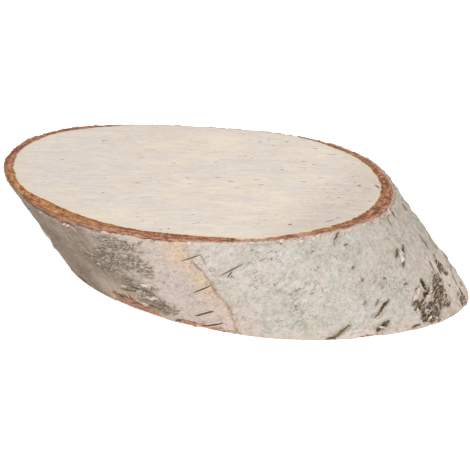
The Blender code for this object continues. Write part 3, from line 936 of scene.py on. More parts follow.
def bark_material():
    """The outer bark: clouds of white, then each zone, then the fine marks, then the stored masks."""
    material, tree, shader = new_material("white_bark", 0.72)

    fine = effect(tree, "grain", size=0.8, low=0.34, high=0.66)
    clouds = effect(tree, "grain", size=14.0, low=0.44, high=0.58)
    patches = effect(tree, "grain", size=5.0, low=0.42, high=0.58)
    greenish = effect(tree, "grain", size=6.5, low=0.52, high=0.62)
    brushed = effect(tree, "mark_streaks", length=2.3, width=1.0, low=0.42, high=0.62)
    combed = effect(tree, "mark_streaks", length=1.5, width=0.8, low=0.48, high=0.62, shift=15.0)
    smudges = effect(tree, "mark_streaks", length=3.0, width=1.7, low=0.52, high=0.62, shift=7.0)
    grit_light = effect(tree, "mark_streaks", length=1.3, width=1.0, low=0.54, high=0.61, shift=31.0)
    grit_dark = effect(tree, "mark_streaks", length=1.4, width=0.9, low=0.55, high=0.62, shift=47.0)
    squiggles = effect(tree, "squiggles", size=2.4, thin=0.034, share=0.50)
    ticks = effect(tree, "squiggles", size=1.6, thin=0.045, share=0.56, shift=20.0)
    pores = effect(tree, "speckles", size=1.6, share=0.14, spread=0.26)
    crust, peach, level = (attribute(tree, name) for name in ("crust", "peach", "level"))

    colour = mix(tree, clouds, (188, 182, 174), (166, 162, 150))
    colour = over(tree, colour, patches, 0.48, (195, 189, 183))
    bluish = effect(tree, "grain", size=11.0, low=0.52, high=0.62)
    colour = over(tree, colour, bluish, 0.45, (196, 197, 198))
    colour = over(tree, colour, greenish, 0.50, (170, 176, 154))
    colour = over(tree, colour, smudges, 0.45, (160, 154, 139))
    pinkish = effect(tree, "grain", size=8.0, low=0.50, high=0.60)
    colour = over(tree, colour, pinkish, 0.45, (194, 176, 170))
    colour = over(tree, colour, combed, 0.22, (216, 210, 203))

    near_peel = side_zone(tree, -106, -98, -80, -66)
    colour = over(tree, colour, near_peel, 0.62, (190, 169, 162))
    warm = effect(tree, "grain", size=7.0, low=0.36, high=0.56)
    colour = over(tree, colour, peach, calc(tree, "MULTIPLY_ADD", warm, 0.45, 0.30), (204, 173, 140))
    low_down = ramp(tree, level, 0.50, 0.24)
    colour = over(tree, colour, times(tree, peach, low_down), 0.75, (192, 172, 168))

    # The left and back: partly browner bark, partly painted shade of the overhanging side. It is paler again
    # low down on the left.
    left = side_zone(tree, -181, -180, -112, -94)
    behind = side_zone(tree, 140, 165, 180, 181)
    brown_and_shaded = calc(tree, "ADD", left, behind)
    along_log = effect(tree, "axis_streaks", length=6.0, width=2.0, low=0.45, high=0.57)
    pale_log = effect(tree, "axis_streaks", length=3.6, width=1.5, low=0.48, high=0.58, shift=9.0)
    colour = over(tree, colour, brown_and_shaded, 0.95, (116, 92, 72))
    colour = over(tree, colour, times(tree, brown_and_shaded, along_log), 0.65, (88, 70, 54))
    colour = over(tree, colour, times(tree, brown_and_shaded, pale_log), 0.60, (156, 133, 112))
    colour = over(tree, colour, times(tree, brown_and_shaded, grit_dark), 0.55, (78, 63, 50))
    colour = over(tree, colour, times(tree, left, ramp(tree, level, 0.45, 0.12)), 0.50, (190, 172, 154))
    # Painted shade along the left edge where the wall turns away, darker and greyer at the bottom.
    shaded_edge = side_zone(tree, -181, -180, -130, -119)
    colour = over(tree, colour, shaded_edge, 0.75, (88, 62, 42))
    colour = over(tree, colour, times(tree, shaded_edge, ramp(tree, level, 0.12, 0.04)), 0.60, (74, 72, 68))

    tan = side_zone(tree, -30, 2, 50, 90)
    colour = over(tree, colour, tan, 0.30, (190, 172, 160))
    rusty = effect(tree, "mark_streaks", length=3.0, width=1.4, low=0.48, high=0.60, shift=3.0)
    colour = over(tree, colour, times(tree, tan, rusty), 0.28, (166, 134, 110))
    colour = over(tree, colour, times(tree, tan, along_log), 0.30, (152, 137, 122))
    colour = over(tree, colour, times(tree, tan, pale_log), 0.45, (216, 203, 193))
    # Painted light: the lower right of the wall is painted paler.
    lit_right_foot = times(tree, side_zone(tree, -10, 0, 40, 60), ramp(tree, level, 0.60, 0.30))
    colour = over(tree, colour, lit_right_foot, 0.70, (216, 200, 188))
    lit = calc(tree, "MULTIPLY_ADD", brown_and_shaded, -0.75, 1.0)

    below = times(tree, attribute(tree, "below"), effect(tree, "grain", size=3.5, low=0.50, high=0.58))
    colour = over(tree, colour, below, 0.60, (196, 160, 128))
    colour = over(tree, colour, brushed, 0.24, (148, 139, 122))
    colour = over(tree, colour, times(tree, grit_light, lit), 0.30, (218, 213, 206))
    colour = over(tree, colour, grit_dark, 0.36, (134, 123, 106))
    clusters = effect(tree, "grain", size=10.0, low=0.46, high=0.60)
    clusters = calc(tree, "MULTIPLY_ADD", clusters, 0.80, 0.20)
    colour = over(tree, colour, times(tree, squiggles, clusters), 0.62, (110, 100, 82))
    colour = over(tree, colour, times(tree, ticks, clusters), 0.85, (82, 72, 58))
    colour = over(tree, colour, times(tree, pores, clusters), 0.45, (122, 110, 90))
    colour = over(tree, colour, attribute(tree, "steps"), 0.20, (182, 168, 150))
    cracked = effect(tree, "squiggles", size=2.2, thin=0.080, share=0.42, shift=5.0)
    scales = effect(tree, "mark_streaks", length=2.6, width=1.0, low=0.44, high=0.56, shift=9.0)
    colour = over(tree, colour, crust, 0.42, (142, 128, 112))
    colour = over(tree, colour, times(tree, crust, scales), 0.50, (188, 176, 162))
    colour = over(tree, colour, times(tree, crust, cracked), 0.75, (92, 80, 64))
    colour = over(tree, colour, attribute(tree, "line"), 0.75, (150, 128, 98))
    colour = over(tree, colour, attribute(tree, "edge"), 0.30, (208, 182, 162))
    # Darker round each split: partly darker bark, partly painted shade in its dent.
    colour = over(tree, colour, attribute(tree, "crack"), 0.45, (132, 114, 96))

    dents = calc(tree, "ADD", squiggles, times(tree, times(tree, crust, cracked), 1.5))
    height = calc(tree, "MULTIPLY_ADD", fine, 0.7, times(tree, combed, 0.4))
    finish_material(tree, shader, colour, calc(tree, "SUBTRACT", height, dents), 0.12, 0.7)
    return material


# %% [markdown]
# ## Finish: inner bark
# The rim is the darkest band of the slab. Its colour changes across its width: a dark thin line against
# the wood, orange-brown grains in the middle, and a browner outer edge. The mesh carries the share
# across the rim as an attribute, so the bands stay put wherever the rim widens.

# %% Inner bark material
def inner_bark_material():
    """The inner bark: golden at the left, redder elsewhere, and layered where its side is torn."""
    material, tree, shader = new_material("inner_bark", 0.85)
    rim, side, grains, bands = (attribute(tree, name) for name in ("rim", "side", "grains", "bands"))
    fine = effect(tree, "grain", size=1.5, low=0.44, high=0.58)
    sparkle = effect(tree, "grain", size=1.3, low=0.56, high=0.64)
    patches = effect(tree, "grain", size=5.5, low=0.44, high=0.56)
    golden = times(tree, ramp(tree, side, -84, -118), ramp(tree, side, -172, -150))
    red = calc(tree, "SUBTRACT", 1.0, golden)

    def either(red_colour, golden_colour):
        """The redder colour, or the golden one at the left."""
        return mix(tree, golden, red_colour, golden_colour)

    colour = either((178, 118, 84), (202, 138, 84))
    colour = over(tree, colour, patches, 0.40, either((196, 136, 102), (212, 150, 100)))
    colour = over(tree, colour, ramp(tree, bands, -0.05, -0.55), 0.80, either((126, 76, 50), (124, 72, 42)))
    colour = over(tree, colour, ramp(tree, bands, 0.20, 0.75), 0.70, either((222, 164, 128), (228, 172, 118)))
    colour = over(tree, colour, times(tree, ramp(tree, grains, -0.20, -0.70), red), 0.75, (94, 56, 38))
    colour = over(tree, colour, times(tree, ramp(tree, grains, 0.35, 0.85), red), 0.75, (232, 186, 148))
    colour = over(tree, colour, fine, 0.55, either((112, 68, 44), (122, 74, 44)))
    colour = over(tree, colour, sparkle, 0.75, either((232, 184, 146), (240, 192, 142)))
    colour = over(tree, colour, ramp(tree, rim, 0.24, 0.04), 0.55, (122, 80, 50))
    pale_front = times(tree, ramp(tree, side, -68, -56), ramp(tree, side, -26, -40))
    colour = over(tree, colour, times(tree, pale_front, patches), 0.55, (212, 170, 140))
    crumbs = effect(tree, "grain", size=2.6, low=0.42, high=0.56)
    outer_edge = times(tree, ramp(tree, rim, 0.80, 0.98), crumbs)
    colour = over(tree, colour, outer_edge, 0.55, either((206, 164, 138), (112, 70, 40)))
    streaks = effect(tree, "mark_streaks", length=2.8, width=0.9, low=0.42, high=0.56)
    layers = effect(tree, "mark_streaks", length=4.0, width=1.5, low=0.46, high=0.58, shift=4.0)
    torn_colour = mix(tree, streaks, (186, 132, 108), (128, 88, 70))
    torn_colour = over(tree, torn_colour, layers, 0.6, (206, 170, 152))
    torn_colour = over(tree, torn_colour, golden, 0.60, (142, 106, 86))
    torn_colour = over(tree, torn_colour, ramp(tree, grains, 0.1, 0.7), 0.4, (196, 158, 134))
    place = object_place(tree)
    low = ramp(tree, add(tree, "ShaderNodeSeparateXYZ", {0: place}).outputs[2], 12 * MM, 7 * MM)
    torn_colour = over(tree, torn_colour, low, 0.65, (200, 150, 124))
    torn_colour = over(tree, torn_colour, times(tree, low, streaks), 0.45, (132, 92, 72))
    torn_colour = over(tree, torn_colour, times(tree, low, sparkle), 0.70, (236, 214, 196))
    colour = over(tree, colour, attribute(tree, "torn_side"), 0.90, torn_colour)
    finish_material(tree, shader, colour, calc(tree, "ADD", fine, grains), 0.15, 0.8)
    return material


# %% [markdown]
# ## Finish: sawn wood
# Birch wood is nearly white. The middle is creamy and the ends greyer and pinker. Streaks along the
# long way are the grain, cut slantwise, and small dark dashes are its pores.

# %% Sawn wood material
def wood_material():
    """The sawn wood: broad streaks, then the ends' tints, then fine streaks and dashes."""
    material, tree, shader = new_material("cut_wood", 0.68)
    broad = effect(tree, "wood_streaks", length=34.0, width=10.0, low=0.42, high=0.58)
    grey = effect(tree, "wood_streaks", length=24.0, width=8.0, low=0.45, high=0.56, shift=5.0)
    bands = effect(tree, "wood_streaks", length=16.0, width=2.4, low=0.42, high=0.60, shift=3.0)
    streaks = effect(tree, "wood_streaks", length=5.0, width=0.95, low=0.44, high=0.64)
    dashes = effect(tree, "wood_streaks", length=1.7, width=0.75, low=0.595, high=0.66, shift=11.0)
    dash_patches = effect(tree, "grain", size=14.0, low=0.44, high=0.58)
    mottling = effect(tree, "grain", size=3.0, low=0.42, high=0.60)
    place = object_place(tree)
    x = first(tree, "ShaderNodeSeparateXYZ", {0: place})
    left_end = ramp(tree, x, -8 * MM, -60 * MM)
    right_end = ramp(tree, x, 18 * MM, 48 * MM)
    colour = mix(tree, broad, (238, 224, 204), (228, 215, 201))
    colour = over(tree, colour, grey, 0.62, (218, 209, 205))
    colour = over(tree, colour, left_end, 0.60, (217, 206, 200))
    colour = over(tree, colour, right_end, 0.90, (196, 180, 168))
    colour = over(tree, colour, mottling, 0.35, (238, 228, 214))
    colour = over(tree, colour, bands, 0.24, (240, 230, 216))
    creamy = effect(tree, "wood_streaks", length=15.0, width=8.0, low=0.48, high=0.58, shift=17.0)
    colour = over(tree, colour, creamy, 0.30, (234, 218, 190))
    lilac = effect(tree, "wood_streaks", length=13.0, width=7.0, low=0.50, high=0.60, shift=40.0)
    colour = over(tree, colour, lilac, 0.30, (214, 206, 204))
    colour = over(tree, colour, streaks, 0.36, (204, 187, 172))
    dashes = times(tree, dashes, calc(tree, "MULTIPLY_ADD", dash_patches, 0.7, 0.3))
    colour = over(tree, colour, dashes, 0.60, (168, 142, 122))
    near_bark = attribute(tree, "near_bark")
    colour = over(tree, colour, ramp(tree, near_bark, 0.90, 0.985), 0.30, (222, 206, 186))
    colour = over(tree, colour, ramp(tree, near_bark, 0.975, 1.0), 0.65, (236, 208, 174))
    height = calc(tree, "SUBTRACT", times(tree, bands, 0.4), calc(tree, "ADD", streaks, dashes))
    finish_material(tree, shader, colour, height, 0.06, 0.7)
    return material


# %% Make the three skins
outer_bark = finished("outer_bark", make_outer_bark(), bark_material())
finished("inner_bark", make_inner_bark(), inner_bark_material())
sawn_wood = finished("sawn_wood", make_sawn_wood(), wood_material())

# %% [markdown]
# ## Small solids to scatter
# A lenticel, a crust plate and a paper flake are each one small closed solid: a leaf-shaped outline with
# a top and an underside. Their height above the bark is kept as an attribute called lift, so that a
# long one can be bent to the bark afterwards, and another attribute marks the dark slit.

# %% Small solids
def leaf_solid(name, across_x, across_y, top, under, seed=0):
    """A closed leaf shape 1 long and 1 wide, with its height from two functions of the place on it."""
    u, v = np.meshgrid(np.linspace(-1, 1, across_x), np.linspace(-1, 1, across_y), indexing="ij")
    ring = np.stack([u * 3.0, v * 1.5, 0 * u + seed], axis=-1)
    taper = np.sqrt(np.clip(1.0 - 0.96 * u ** 2, 0, 1)) * (1 + 0.28 * noise(ring, 120 + seed) * (seed > 0))
    x, y = u / 2 * (1 + 0.10 * noise(ring, 130 + seed) * (seed > 0)), v / 2 * taper
    upper = np.stack([x, y, top(u, v)], axis=-1).reshape(-1, 3)
    lower = np.stack([x, y, under(u, v)], axis=-1).reshape(-1, 3)
    count = len(upper)
    cell = [(i * across_y + j, (i + 1) * across_y + j, (i + 1) * across_y + j + 1, i * across_y + j + 1)
            for i in range(across_x - 1) for j in range(across_y - 1)]
    rim = [i * across_y for i in range(across_x)]
    rim += [(across_x - 1) * across_y + j for j in range(1, across_y)]
    rim += [i * across_y + across_y - 1 for i in range(across_x - 2, -1, -1)]
    rim += list(range(across_y - 2, 0, -1))
    faces = cell + [tuple(count + index for index in reversed(face)) for face in cell]
    for a, b in zip(rim, rim[1:] + rim[:1]):
        faces.append((b, a, count + a, count + b))
    points = np.concatenate([upper, lower])
    mesh = bpy.data.meshes.new(name)
    mesh.from_pydata(points.tolist(), [], faces)
    middle = np.exp(-(v / 0.36) ** 2) * np.clip(1.2 - np.abs(u), 0, 1) ** 0.5
    reach = np.tile(np.abs(v).ravel(), 2)
    set_masks(mesh, {"lift": points[:, 2], "slit": np.tile(middle.ravel(), 2), "reach": reach})
    solid = bpy.data.objects.new(name, mesh)
    bpy.context.scene.collection.objects.link(solid)
    return solid


def lenticel_top(u, v):
    """Two low lips with a slit between them, sinking into the bark at the ends and sides."""
    lips = np.exp(-((np.abs(v) - 0.50) / 0.26) ** 2) - 0.7 * np.exp(-(v / 0.20) ** 2)
    return (0.16 + 0.16 * lips) * (1 - u ** 2) - 0.10 * np.maximum(np.abs(u), np.abs(v)) ** 6


def level_under(depth):
    """The level underside of a small solid, so far below its middle."""
    return lambda u, v: 0 * u - depth


def plate_top(u, v):
    """The rough top of a crust plate."""
    return 0.34 * (1 - 0.5 * u ** 2) * (1 - 0.4 * v ** 2) + 0.10 * np.sin(5 * u + 2 * v)


def flake_top(u, v):
    """A paper flake that curls up along one long side."""
    return 0.10 + 0.55 * ((v + 1) / 2) ** 2 * (1 - 0.3 * u ** 2) + 0.06 * np.sin(4 * u)


# %% [markdown]
# ## Geometry Nodes: lenticels bent to the bark
# The tree puts one lenticel on each point of a small cloud, turned and sized by the point's attributes.
# The copies are straight, but the bark is round, so after they are made real each corner is moved to
# the nearest place on the bark and then out again by its own lift. It is the node form of draping.

# %% Node trees for scattering
SAME_PLACE = 0.002 * MM


def geometry_tree(name, inputs):
    """A geometry tree with named inputs, a geometry in and a geometry out."""
    tree = bpy.data.node_groups.new(name, "GeometryNodeTree")
    tree.interface.new_socket("Geometry", in_out="INPUT", socket_type="NodeSocketGeometry")
    for label, kind in inputs.items():
        tree.interface.new_socket(label, in_out="INPUT", socket_type="NodeSocket" + kind)
    tree.interface.new_socket("Geometry", in_out="OUTPUT", socket_type="NodeSocketGeometry")
    return tree, tree.nodes.new("NodeGroupInput").outputs, tree.nodes.new("NodeGroupOutput").inputs


def named(tree, name, kind):
    """Reads a stored attribute inside a geometry tree."""
    return add(tree, "GeometryNodeInputNamedAttribute", {"Name": name}, data_type=kind).outputs["Attribute"]


def drape_tree():
    """Copies on points, bent to the host surface."""
    inputs = {"Host": "Object", "Solid": "Object", "Material": "Material"}
    tree, given, result = geometry_tree("drape_on_bark", inputs)
    solid = add(tree, "GeometryNodeObjectInfo", {"Object": given["Solid"]}, transform_space="ORIGINAL")
    host = add(tree, "GeometryNodeObjectInfo", {"Object": given["Host"]}, transform_space="ORIGINAL")
    turn = first(tree, "FunctionNodeEulerToRotation", {0: named(tree, "turn", "FLOAT_VECTOR")})
    copies = first(tree, "GeometryNodeInstanceOnPoints", {
        "Points": given["Geometry"], "Instance": solid.outputs["Geometry"], "Rotation": turn,
        "Scale": named(tree, "size", "FLOAT_VECTOR")})
    real = first(tree, "GeometryNodeRealizeInstances", {"Geometry": copies})
    near_host = add(tree, "GeometryNodeProximity", {0: host.outputs["Geometry"]}, target_element="FACES")
    nearest = near_host.outputs["Position"]
    lift = vector_calc(tree, "SCALE", named(tree, "out", "FLOAT_VECTOR"), named(tree, "lift", "FLOAT"))
    place = vector_calc(tree, "ADD", nearest, lift)
    bent = first(tree, "GeometryNodeSetPosition", {"Geometry": real, "Position": place})
    clean = first(tree, "GeometryNodeMergeByDistance", {"Geometry": bent, "Distance": SAME_PLACE})
    done = first(tree, "GeometryNodeSetMaterial", {"Geometry": clean, "Material": given["Material"]})
    tree.links.new(done, result[0])
    return tree


def scatter_tree():
    """Copies strewn over the host where a mask allows, lying along the marks on the bark."""
    inputs = {"Mask": "String", "Density": "Float", "Seed": "Int", "Smallest": "Vector", "Largest": "Vector",
              "Tilt": "Float", "Spin": "Float", "Solids": "Collection", "Material": "Material"}
    tree, given, result = geometry_tree("scatter_on_bark", inputs)
    density = times(tree, named(tree, given["Mask"], "FLOAT"), given["Density"])
    strewn = add(tree, "GeometryNodeDistributePointsOnFaces", {
        "Mesh": given["Geometry"], "Density": density, "Seed": given["Seed"]})
    normal = strewn.outputs["Normal"]
    round_way = vector_calc(tree, "CROSS_PRODUCT", tuple(MARK_UP), normal)
    upright = first(tree, "FunctionNodeAlignRotationToVector", {"Vector": normal}, axis="Z")
    along = first(tree, "FunctionNodeAlignRotationToVector", {"Rotation": upright, "Vector": round_way},
                  axis="X", pivot_axis="Z")
    tilt, spin = given["Tilt"], given["Spin"]
    most = first(tree, "ShaderNodeCombineXYZ", {0: tilt, 1: tilt, 2: spin})
    least = vector_calc(tree, "SCALE", most, -1.0)
    wobble = first(tree, "FunctionNodeRandomValue", {0: least, 1: most, "Seed": given["Seed"]},
                   data_type="FLOAT_VECTOR")
    wobble = first(tree, "FunctionNodeEulerToRotation", {0: wobble})
    turned = first(tree, "FunctionNodeRotateRotation", {0: along, 1: wobble}, rotation_space="LOCAL")
    size = first(tree, "FunctionNodeRandomValue", {0: given["Smallest"], 1: given["Largest"]},
                 data_type="FLOAT_VECTOR")
    solids = first(tree, "GeometryNodeCollectionInfo", {
        "Collection": given["Solids"], "Separate Children": True, "Reset Children": True},
        transform_space="ORIGINAL")
    copies = first(tree, "GeometryNodeInstanceOnPoints", {
        "Points": strewn.outputs["Points"], "Instance": solids, "Pick Instance": True,
        "Rotation": turned, "Scale": size})
    real = first(tree, "GeometryNodeRealizeInstances", {"Geometry": copies})
    done = first(tree, "GeometryNodeSetMaterial", {"Geometry": real, "Material": given["Material"]})
    tree.links.new(done, result[0])
    return tree


def grown(name, source_mesh, tree, values):
    """Runs a geometry tree on a mesh and keeps the result as a plain piece."""
    carrier = bpy.data.objects.new(name + "_carrier", source_mesh)
    bpy.context.scene.collection.objects.link(carrier)
    modifier = carrier.modifiers.new("grow", "NODES")
    modifier.node_group = tree
    for item in tree.interface.items_tree:
        if item.item_type == "SOCKET" and item.in_out == "INPUT" and item.name in values:
            modifier[item.identifier] = values[item.name]
    carrier.update_tag()
    mesh = bpy.data.meshes.new_from_object(carrier.evaluated_get(bpy.context.evaluated_depsgraph_get()))
    mesh.name = name
    bpy.data.objects.remove(carrier, do_unlink=True)
    points = np.array([vertex.co for vertex in mesh.vertices])
    points[:, 2] = np.clip(points[:, 2], 0.03 * MM, THICKNESS - 0.02 * MM)
    mesh.vertices.foreach_set("co", points.astype(np.float32).ravel())
    return finished(name, mesh, values["Material"])


# %% [markdown]
# ## Finish: lenticels, crust plates and flakes
# The small things use the same groups as the bark, with their own colours: lips a little paler than the
# bark round a dark brown slit, olive-brown plates, and flakes from cream to grey with browner streaks.

# %% Materials of the small things
def lenticel_material():
    """Lips a little paler than the bark, with a dark brown slit between them."""
    material, tree, shader = new_material("lenticel", 0.8)
    slit, reach = attribute(tree, "slit"), attribute(tree, "reach")
    fine = effect(tree, "grain", size=0.5, low=0.3, high=0.7)
    colour = mix(tree, fine, (178, 158, 136), (196, 180, 162))
    colour = mix(tree, ramp(tree, reach, 0.60, 1.0), colour, (192, 183, 172))
    colour = mix(tree, ramp(tree, slit, 0.12, 0.50), colour, (96, 74, 55))
    finish_material(tree, shader, colour, fine, 0.06)
    return material


def small_bark_material(name, first, second, flecks, roughness):
    """A finish of two mixed colours with darker flecks along the marks."""
    material, tree, shader = new_material(name, roughness)
    patches = effect(tree, "grain", size=1.6, low=0.40, high=0.60)
    streaks = effect(tree, "mark_streaks", length=1.4, width=0.3, low=0.5, high=0.68)
    colour = mix(tree, patches, first, second)
    colour = over(tree, colour, streaks, 0.5, flecks)
    finish_material(tree, shader, colour, streaks, 0.08)
    return material


# %% Lenticels
BARK_LIFT = 0.05 * MM
LIPS_TO_SLIT = 1.15
FLAT = 1e-6


def cloud(name, places, turns, sizes, outs):
    """A mesh of points only, with the attributes that the drape tree reads."""
    mesh = bpy.data.meshes.new(name)
    mesh.from_pydata(np.array(places).tolist(), [], [])
    for key, rows in (("turn", turns), ("size", sizes), ("out", outs)):
        layer = mesh.attributes.new(key, "FLOAT_VECTOR", "POINT")
        layer.data.foreach_set("vector", np.array(rows, np.float32).ravel())
    return mesh


def lenticel_cloud():
    """One point for each lenticel, with its turn, its size and the way out of the bark."""
    angle, height = np.radians(LENTICELS[:, [0, 2]]), LENTICELS[:, [1, 3]] * MM
    ends = slab_points(angle, height, branch_radius(angle, height))
    middle_angle, middle_height = angle.mean(axis=1), height.mean(axis=1)
    middle, *beside = [
        slab_points(side, level, branch_radius(side, level))
        for side, level in ((middle_angle, middle_height), (middle_angle + 0.01, middle_height),
                            (middle_angle, middle_height + 0.5 * MM))]
    turns, sizes, outs = [], [], []
    for place, (start, end), side, above, row in zip(middle, ends, *beside, LENTICELS):
        out = Vector(side - place).cross(Vector(above - place)).normalized()
        along = Vector(end - start)
        length = along.length
        along = (along - out * along.dot(out)).normalized()
        across = out.cross(along)
        turns.append(tuple(Matrix((along, across, out)).transposed().to_euler()))
        sizes.append((length, row[4] * LIPS_TO_SLIT * MM, FLAT))
        outs.append(tuple(out))
    return cloud("lenticel_cloud", middle + np.array(outs) * BARK_LIFT, turns, sizes, outs)


def draped(name, solid, points, host, material):
    """Copies of a small solid on a host, bent to it. The solid's lift is in millimetres."""
    for value in solid.data.attributes["lift"].data:
        value.value *= MM
    grown(name, points, DRAPE, {"Host": host, "Solid": solid, "Material": material})
    bpy.data.objects.remove(solid, do_unlink=True)


DRAPE = drape_tree()
lens = leaf_solid("lens", 17, 11, lenticel_top, level_under(0.45))
draped("lenticels", lens, lenticel_cloud(), outer_bark, lenticel_material())

# %% [markdown]
# ## Flecks on the sawn faces
# Small dark flecks lie along the grain where the saw opened a pore or left dirt in a scratch. The ones
# that can be made out in the photograph are listed, measured from the middle of the branch, and
# the rest are drawn with a fixed seed. The same tree presses them onto the wood.

# %% Wood flecks
# Each row: place along X and Y from the middle of the face, length, width, turn in degrees
FLECKS_SEEN = (
    (44.4, 34.0, 1.5, 0.8, 24.0), (53.6, 15.9, 1.3, 1.6, 45.0), (59.4, 17.6, 4.3, 1.3, -44.0),
    (58.5, 20.9, 1.7, 0.8, -9.0), (51.2, 18.0, 0.9, 0.8, 5.0), (57.0, 11.2, 1.5, 0.8, 12.0),
    (51.4, 3.0, 1.4, 0.8, 11.0), (47.8, 2.3, 1.2, 0.6, 24.0), (61.8, 4.1, 1.1, 0.8, 9.0),
    (6.2, 41.5, 1.8, 0.7, 57.0), (8.1, 44.2, 1.3, 0.7, 39.0), (12.0, 39.4, 1.0, 0.8, 4.0),
    (14.7, 45.1, 1.4, 0.9, 24.0), (34.1, 39.9, 4.5, 0.45, 16.0), (26.4, 43.0, 2.2, 0.7, -13.0),
    (45.7, -25.3, 2.0, 1.3, 59.0), (56.1, -17.5, 4.4, 0.8, 53.0), (57.9, -13.4, 2.4, 0.7, 61.0),
    (7.0, 26.2, 1.4, 0.5, -19.0), (10.0, 25.2, 1.2, 0.5, -8.0), (48.6, 22.7, 0.9, 0.6, 5.0),
    (55.9, -0.8, 1.7, 0.5, 14.0), (47.1, 10.1, 1.3, 0.5, 10.0), (-44.8, 19.6, 1.0, 0.8, 5.0),
    (0.6, -5.7, 1.0, 0.8, 24.0), (11.2, -44.6, 0.9, 0.9, 6.0), (0.7, -42.1, 0.9, 0.8, 6.0),
    (5.2, -41.9, 0.8, 0.6, 4.0), (-54.5, -9.3, 6.7, 0.4, 16.0), (9.2, -46.4, 0.9, 0.7, 6.0),
    (-2.4, -39.5, 0.7, 0.6, 24.0),
)
SCATTERED_FLECKS = 64
FLECK_SEED = 11
FLECK_MARGIN = 5.5 * MM


def fleck_top(u, v):
    """A low fleck whose rim sinks into the wood."""
    return 0.05 * (1 - u ** 2) * (1 - v ** 2) - 0.03 * np.maximum(np.abs(u), np.abs(v)) ** 4


def fleck_material():
    """Brown in the middle, and fading to the wood at the rim."""
    material, tree, shader = new_material("fleck", 0.8)
    reach = attribute(tree, "reach")
    fine = effect(tree, "grain", size=0.7, low=0.35, high=0.65)
    colour = mix(tree, fine, (150, 126, 106), (116, 96, 82))
    colour = mix(tree, ramp(tree, reach, 0.35, 0.95), colour, (206, 190, 174))
    finish_material(tree, shader, colour, fine, 0.03)
    return material


def fleck_cloud():
    """The flecks in view on the upper face, and scattered ones on both faces."""
    rng = np.random.default_rng(FLECK_SEED)
    rows = [(x * MM, y * MM, 1, length, width, turn) for x, y, length, width, turn in FLECKS_SEEN]
    for _ in range(SCATTERED_FLECKS):
        angle = rng.uniform(0, 2 * np.pi)
        share, face = rng.uniform(0, 0.93) ** 0.5, rng.choice((-1, 1))
        level = THICKNESS if face > 0 else 0.0
        radius = (branch_radius(np.array([angle]), np.array([level]))[0] - FLECK_MARGIN) * share
        x, y = radius * math.cos(angle) / math.cos(LEAN), radius * math.sin(angle)
        length, width = rng.uniform(0.9, 2.8), rng.uniform(0.35, 0.7)
        rows.append((x, y, face, length, width, math.degrees(GRAIN_TURN) + rng.normal(0, 7)))
    places, turns, sizes, outs = [], [], [], []
    for x, y, face, length, width, turn in rows:
        shift = face * THICKNESS / 2 * math.tan(LEAN)
        places.append((CENTRE[0] + x - shift, CENTRE[1] + y, THICKNESS if face > 0 else 0.0))
        turns.append((0.0 if face > 0 else math.pi, 0.0, math.radians(turn)))
        sizes.append((length * MM, width * MM, FLAT))
        outs.append((0.0, 0.0, float(face)))
    return cloud("fleck_cloud", places, turns, sizes, outs)


fleck = leaf_solid("fleck", 9, 7, fleck_top, level_under(0.2))
draped("wood_flecks", fleck, fleck_cloud(), sawn_wood, fleck_material())

# %% [markdown]
# ## Geometry Nodes: crusts, flakes and shreds
# Where the bark is cracked it breaks into small plates, and flakes of paper bark curl up between them.
# One tree strews both: it draws points on the bark where a mask allows, lays a randomly picked solid on
# each, along the marks, and gives it a random size, tilt and spin. Only the inputs differ.

# %% Crusts, flakes and shreds
SCATTER = scatter_tree()
SOLID_VARIANTS = 4


def solids_collection(name, top, under):
    """A few variants of one small solid, to pick from."""
    collection = bpy.data.collections.new(name)
    for number in range(SOLID_VARIANTS):
        solid = leaf_solid(f"{name}_{number}", 6, 5, top, under, seed=number + 1)
        bpy.context.scene.collection.objects.unlink(solid)
        collection.objects.link(solid)
    return collection


def strew(name, mask, density_mm2, seed, smallest, largest, tilt, spin, solids, material):
    """Strews solids over the bark. Sizes are in millimetres, angles in degrees."""
    values = {"Mask": mask, "Density": density_mm2 / MM ** 2, "Seed": seed,
              "Smallest": [size * MM for size in smallest], "Largest": [size * MM for size in largest],
              "Tilt": math.radians(tilt), "Spin": math.radians(spin), "Solids": solids, "Material": material}
    return grown(name, outer_bark.data.copy(), SCATTER, values)


plate_solids = solids_collection("plate", plate_top, level_under(0.5))
flake_solids = solids_collection("flake", flake_top, lambda u, v: flake_top(u, v) - 0.16)
dark_crust = small_bark_material("dark_crust", (126, 112, 88), (88, 75, 56), (48, 40, 31), 0.9)
soft_crust = small_bark_material("soft_crust", (148, 134, 117), (126, 112, 96), (98, 85, 71), 0.9)
pale_paper = small_bark_material("pale_paper", (212, 198, 184), (188, 170, 152), (150, 126, 102), 0.7)
grey_paper = small_bark_material("grey_paper", (190, 176, 160), (170, 154, 137), (144, 124, 104), 0.8)
white_paper = small_bark_material("white_paper", (222, 209, 196), (206, 184, 166), (194, 146, 118), 0.7)
# Each row: name, mask, how many to a square millimetre, seed, smallest and largest size,
# tilt and spin in degrees, solids and material
STREWN = (
    ("crust_plates", "plates_here", 0.62, 4, (0.9, 0.40, 0.30),
     (3.0, 0.90, 0.7), 10, 22, plate_solids, dark_crust),
    ("crust_flakes", "plates_here", 0.42, 8, (0.9, 0.4, 0.3),
     (3.4, 0.8, 0.8), 14, 20, flake_solids, pale_paper),
    ("crust_specks", "specks_here", 0.32, 5, (0.9, 0.35, 0.2),
     (3.2, 0.8, 0.4), 6, 22, plate_solids, soft_crust),
    ("speck_flakes", "specks_here", 0.26, 9, (0.8, 0.35, 0.2),
     (3.0, 0.8, 0.45), 8, 22, flake_solids, grey_paper),
    ("rim_flakes", "lip_here", 4.5, 15, (0.5, 0.35, 0.25),
     (1.9, 0.8, 0.6), 24, 30, flake_solids, white_paper),
    ("paper_shreds", "shreds_here", 0.02, 12, (0.6, 0.25, 0.2),
     (2.0, 0.5, 0.45), 6, 12, flake_solids, pale_paper),
)
for row in STREWN:
    strew(*row)
